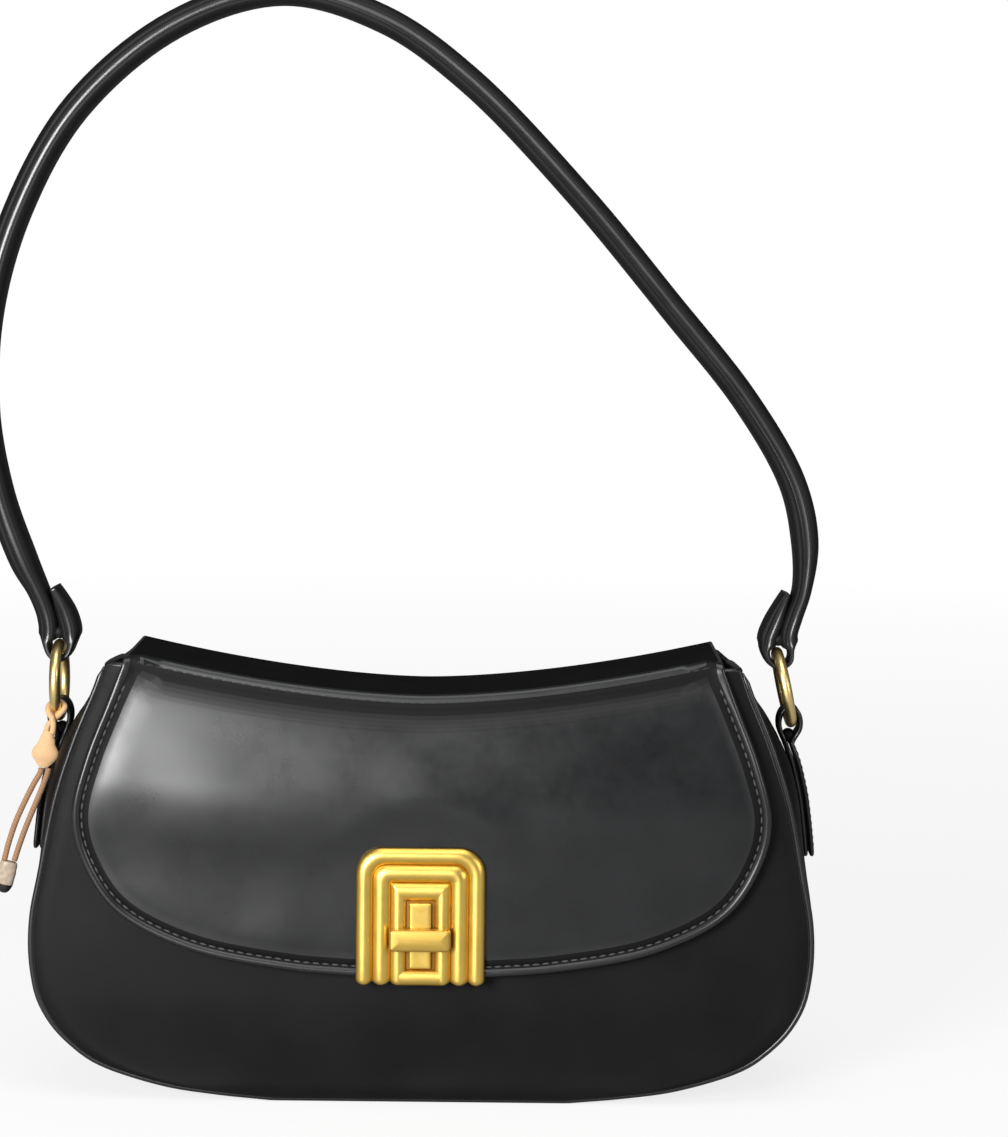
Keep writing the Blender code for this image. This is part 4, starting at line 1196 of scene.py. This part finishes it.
def pillow(name, y, half_x, half_y, low, high, edge, crest=0.0, corner=None, material=gold):
    """A block with rounded corners and edges and a slightly crowned face."""
    corner = corner or edge
    rows = [(0.0, low), (0.0, high - edge)]
    rows += [(edge * (1 - cos(a)), high - edge * (1 - sin(a))) for a in quarter(5)[1:]]
    for share in (0.3, 0.6, 0.85):
        rows.append((edge + (min(half_x, half_y) - edge) * share, high + crest * (1 - (1 - share) ** 2)))
    loops = []
    for inset, z in rows:
        loop = []
        bend = max(corner - inset, 0.15)
        for q, (sx, sy) in enumerate(((1, 1), (-1, 1), (-1, -1), (1, -1))):
            for k in range(7):
                a = pi / 2 * (q + k / 6)
                loop.append(on_lock(sx * (half_x - inset - bend) + bend * cos(a),
                                    y + sy * (half_y - inset - bend) + bend * sin(a), z))
        loops.append(loop)
    return crisp(shell(name, loops, material), 50)


build_plate()
block = pillow("lock_block", -6.0, 3.4, 10.5, 0, 2.3, 0.5)
# The well floors the lock's window; its dark gold is painted shade
well = pillow("lock_well", -5.6, 5.4, 12.6, 0.1, 0.7, 0.2, material=shaded_well_gold)
for piece in (block, well):
    pierce(piece, *SPINDLE_HOLE)
keep(block, "flap", "gold", "lock_boss")
keep(well, "flap", "gold")
bar = pillow("turn_bar", TOGGLE_Y, 9.7, 3.5, 2.6, 6.0, 0.9, 0.25, 1.2, shaded_bar_gold)
keep(bar, "toggle", "gold", "toggle_bar")
stem = [[on_lock(radius * cos(a), TOGGLE_Y + radius * sin(a), z) for a in circle(32)]
        for z, radius in SPINDLE]
keep(crisp(shell("turn_spindle", stem, gold)), "toggle", "gold")


# CAD nodes that stay get finished materials

for name in ("base_board", "magnet_keeper", "magnet_disc", "lock_backing", "plate_screw_left",
             "plate_screw_right", "toggle_clip"):
    slots = bpy.data.objects[name].data.materials
    slots.clear()
    slots.append(board_mat if name == "base_board" else steel)


# Studio: a white floor that keeps the shadow, one key lamp and two weak fills

floor_mesh = bpy.data.meshes.new("floor")
floor_mesh.from_pydata([(-8, -8, 0), (8, -8, 0), (8, 8, 0), (-8, 8, 0)], [], [(0, 1, 2, 3)])
floor = in_scene("floor", floor_mesh)
ground = Nodes("ground", (0.9,) * 3, 0.9)
rays = ground.node("LightPath").outputs
ground.to("Base Color", ground.ramp(rays["Is Glossy Ray"], (0.9,) * 3, (0.4,) * 3))
away = ground.node("VectorMath", operation="LENGTH")
ground.link(ground.place, away.inputs[0])
fade = ground.math("MULTIPLY", ground.ramp(away.outputs["Value"], 0.8, 1.0, 0.25, 1.6), rays["Is Camera Ray"])
glow = ground.node("Emission", Strength=1.0, Color=(1, 1, 1, 1))
blend = ground.node("MixShader")
for socket, value in zip(blend.inputs, (fade, ground.shader.outputs[0], glow.outputs[0])):
    ground.link(value, socket)
ground.link(blend.outputs[0], ground.tree.nodes["Material Output"].inputs["Surface"])
floor_mesh.materials.append(ground.material)

scene.world = world = bpy.data.worlds.new("studio")
world.use_nodes = True
sky = Tree(world.node_tree)
rays = sky.node("LightPath").outputs
white = sky.math("MAXIMUM", rays["Is Camera Ray"], rays["Is Transmission Ray"])
dim = sky.math("MULTIPLY", rays["Is Glossy Ray"], 0.2)
background = sky.tree.nodes["Background"]
sky.link(sky.math("SUBTRACT", sky.ramp(white, 0.3, 1.0), dim), background.inputs["Strength"])
background.inputs["Color"].default_value = (1, 1, 1, 1)


def lamp(name, place, target, size, power):
    data = bpy.data.lights.new(name, "AREA")
    data.size = size
    data.energy = power
    made = in_scene(name, data)
    made.location = place
    made.rotation_euler = (Vector(target) - Vector(place)).to_track_quat("-Z", "Y").to_euler()


lamp("key", (-0.53, -1.09, 0.40), (0, 0, 0.10), 0.45, 17)
lamp("top", (0.1, -0.5, 1.3), (0, 0, 0.12), 0.9, 7)
lamp("side", (0.95, -0.75, 0.45), (0.05, 0, 0.10), 0.4, 2.5)

scene.view_settings.view_transform = "Standard"
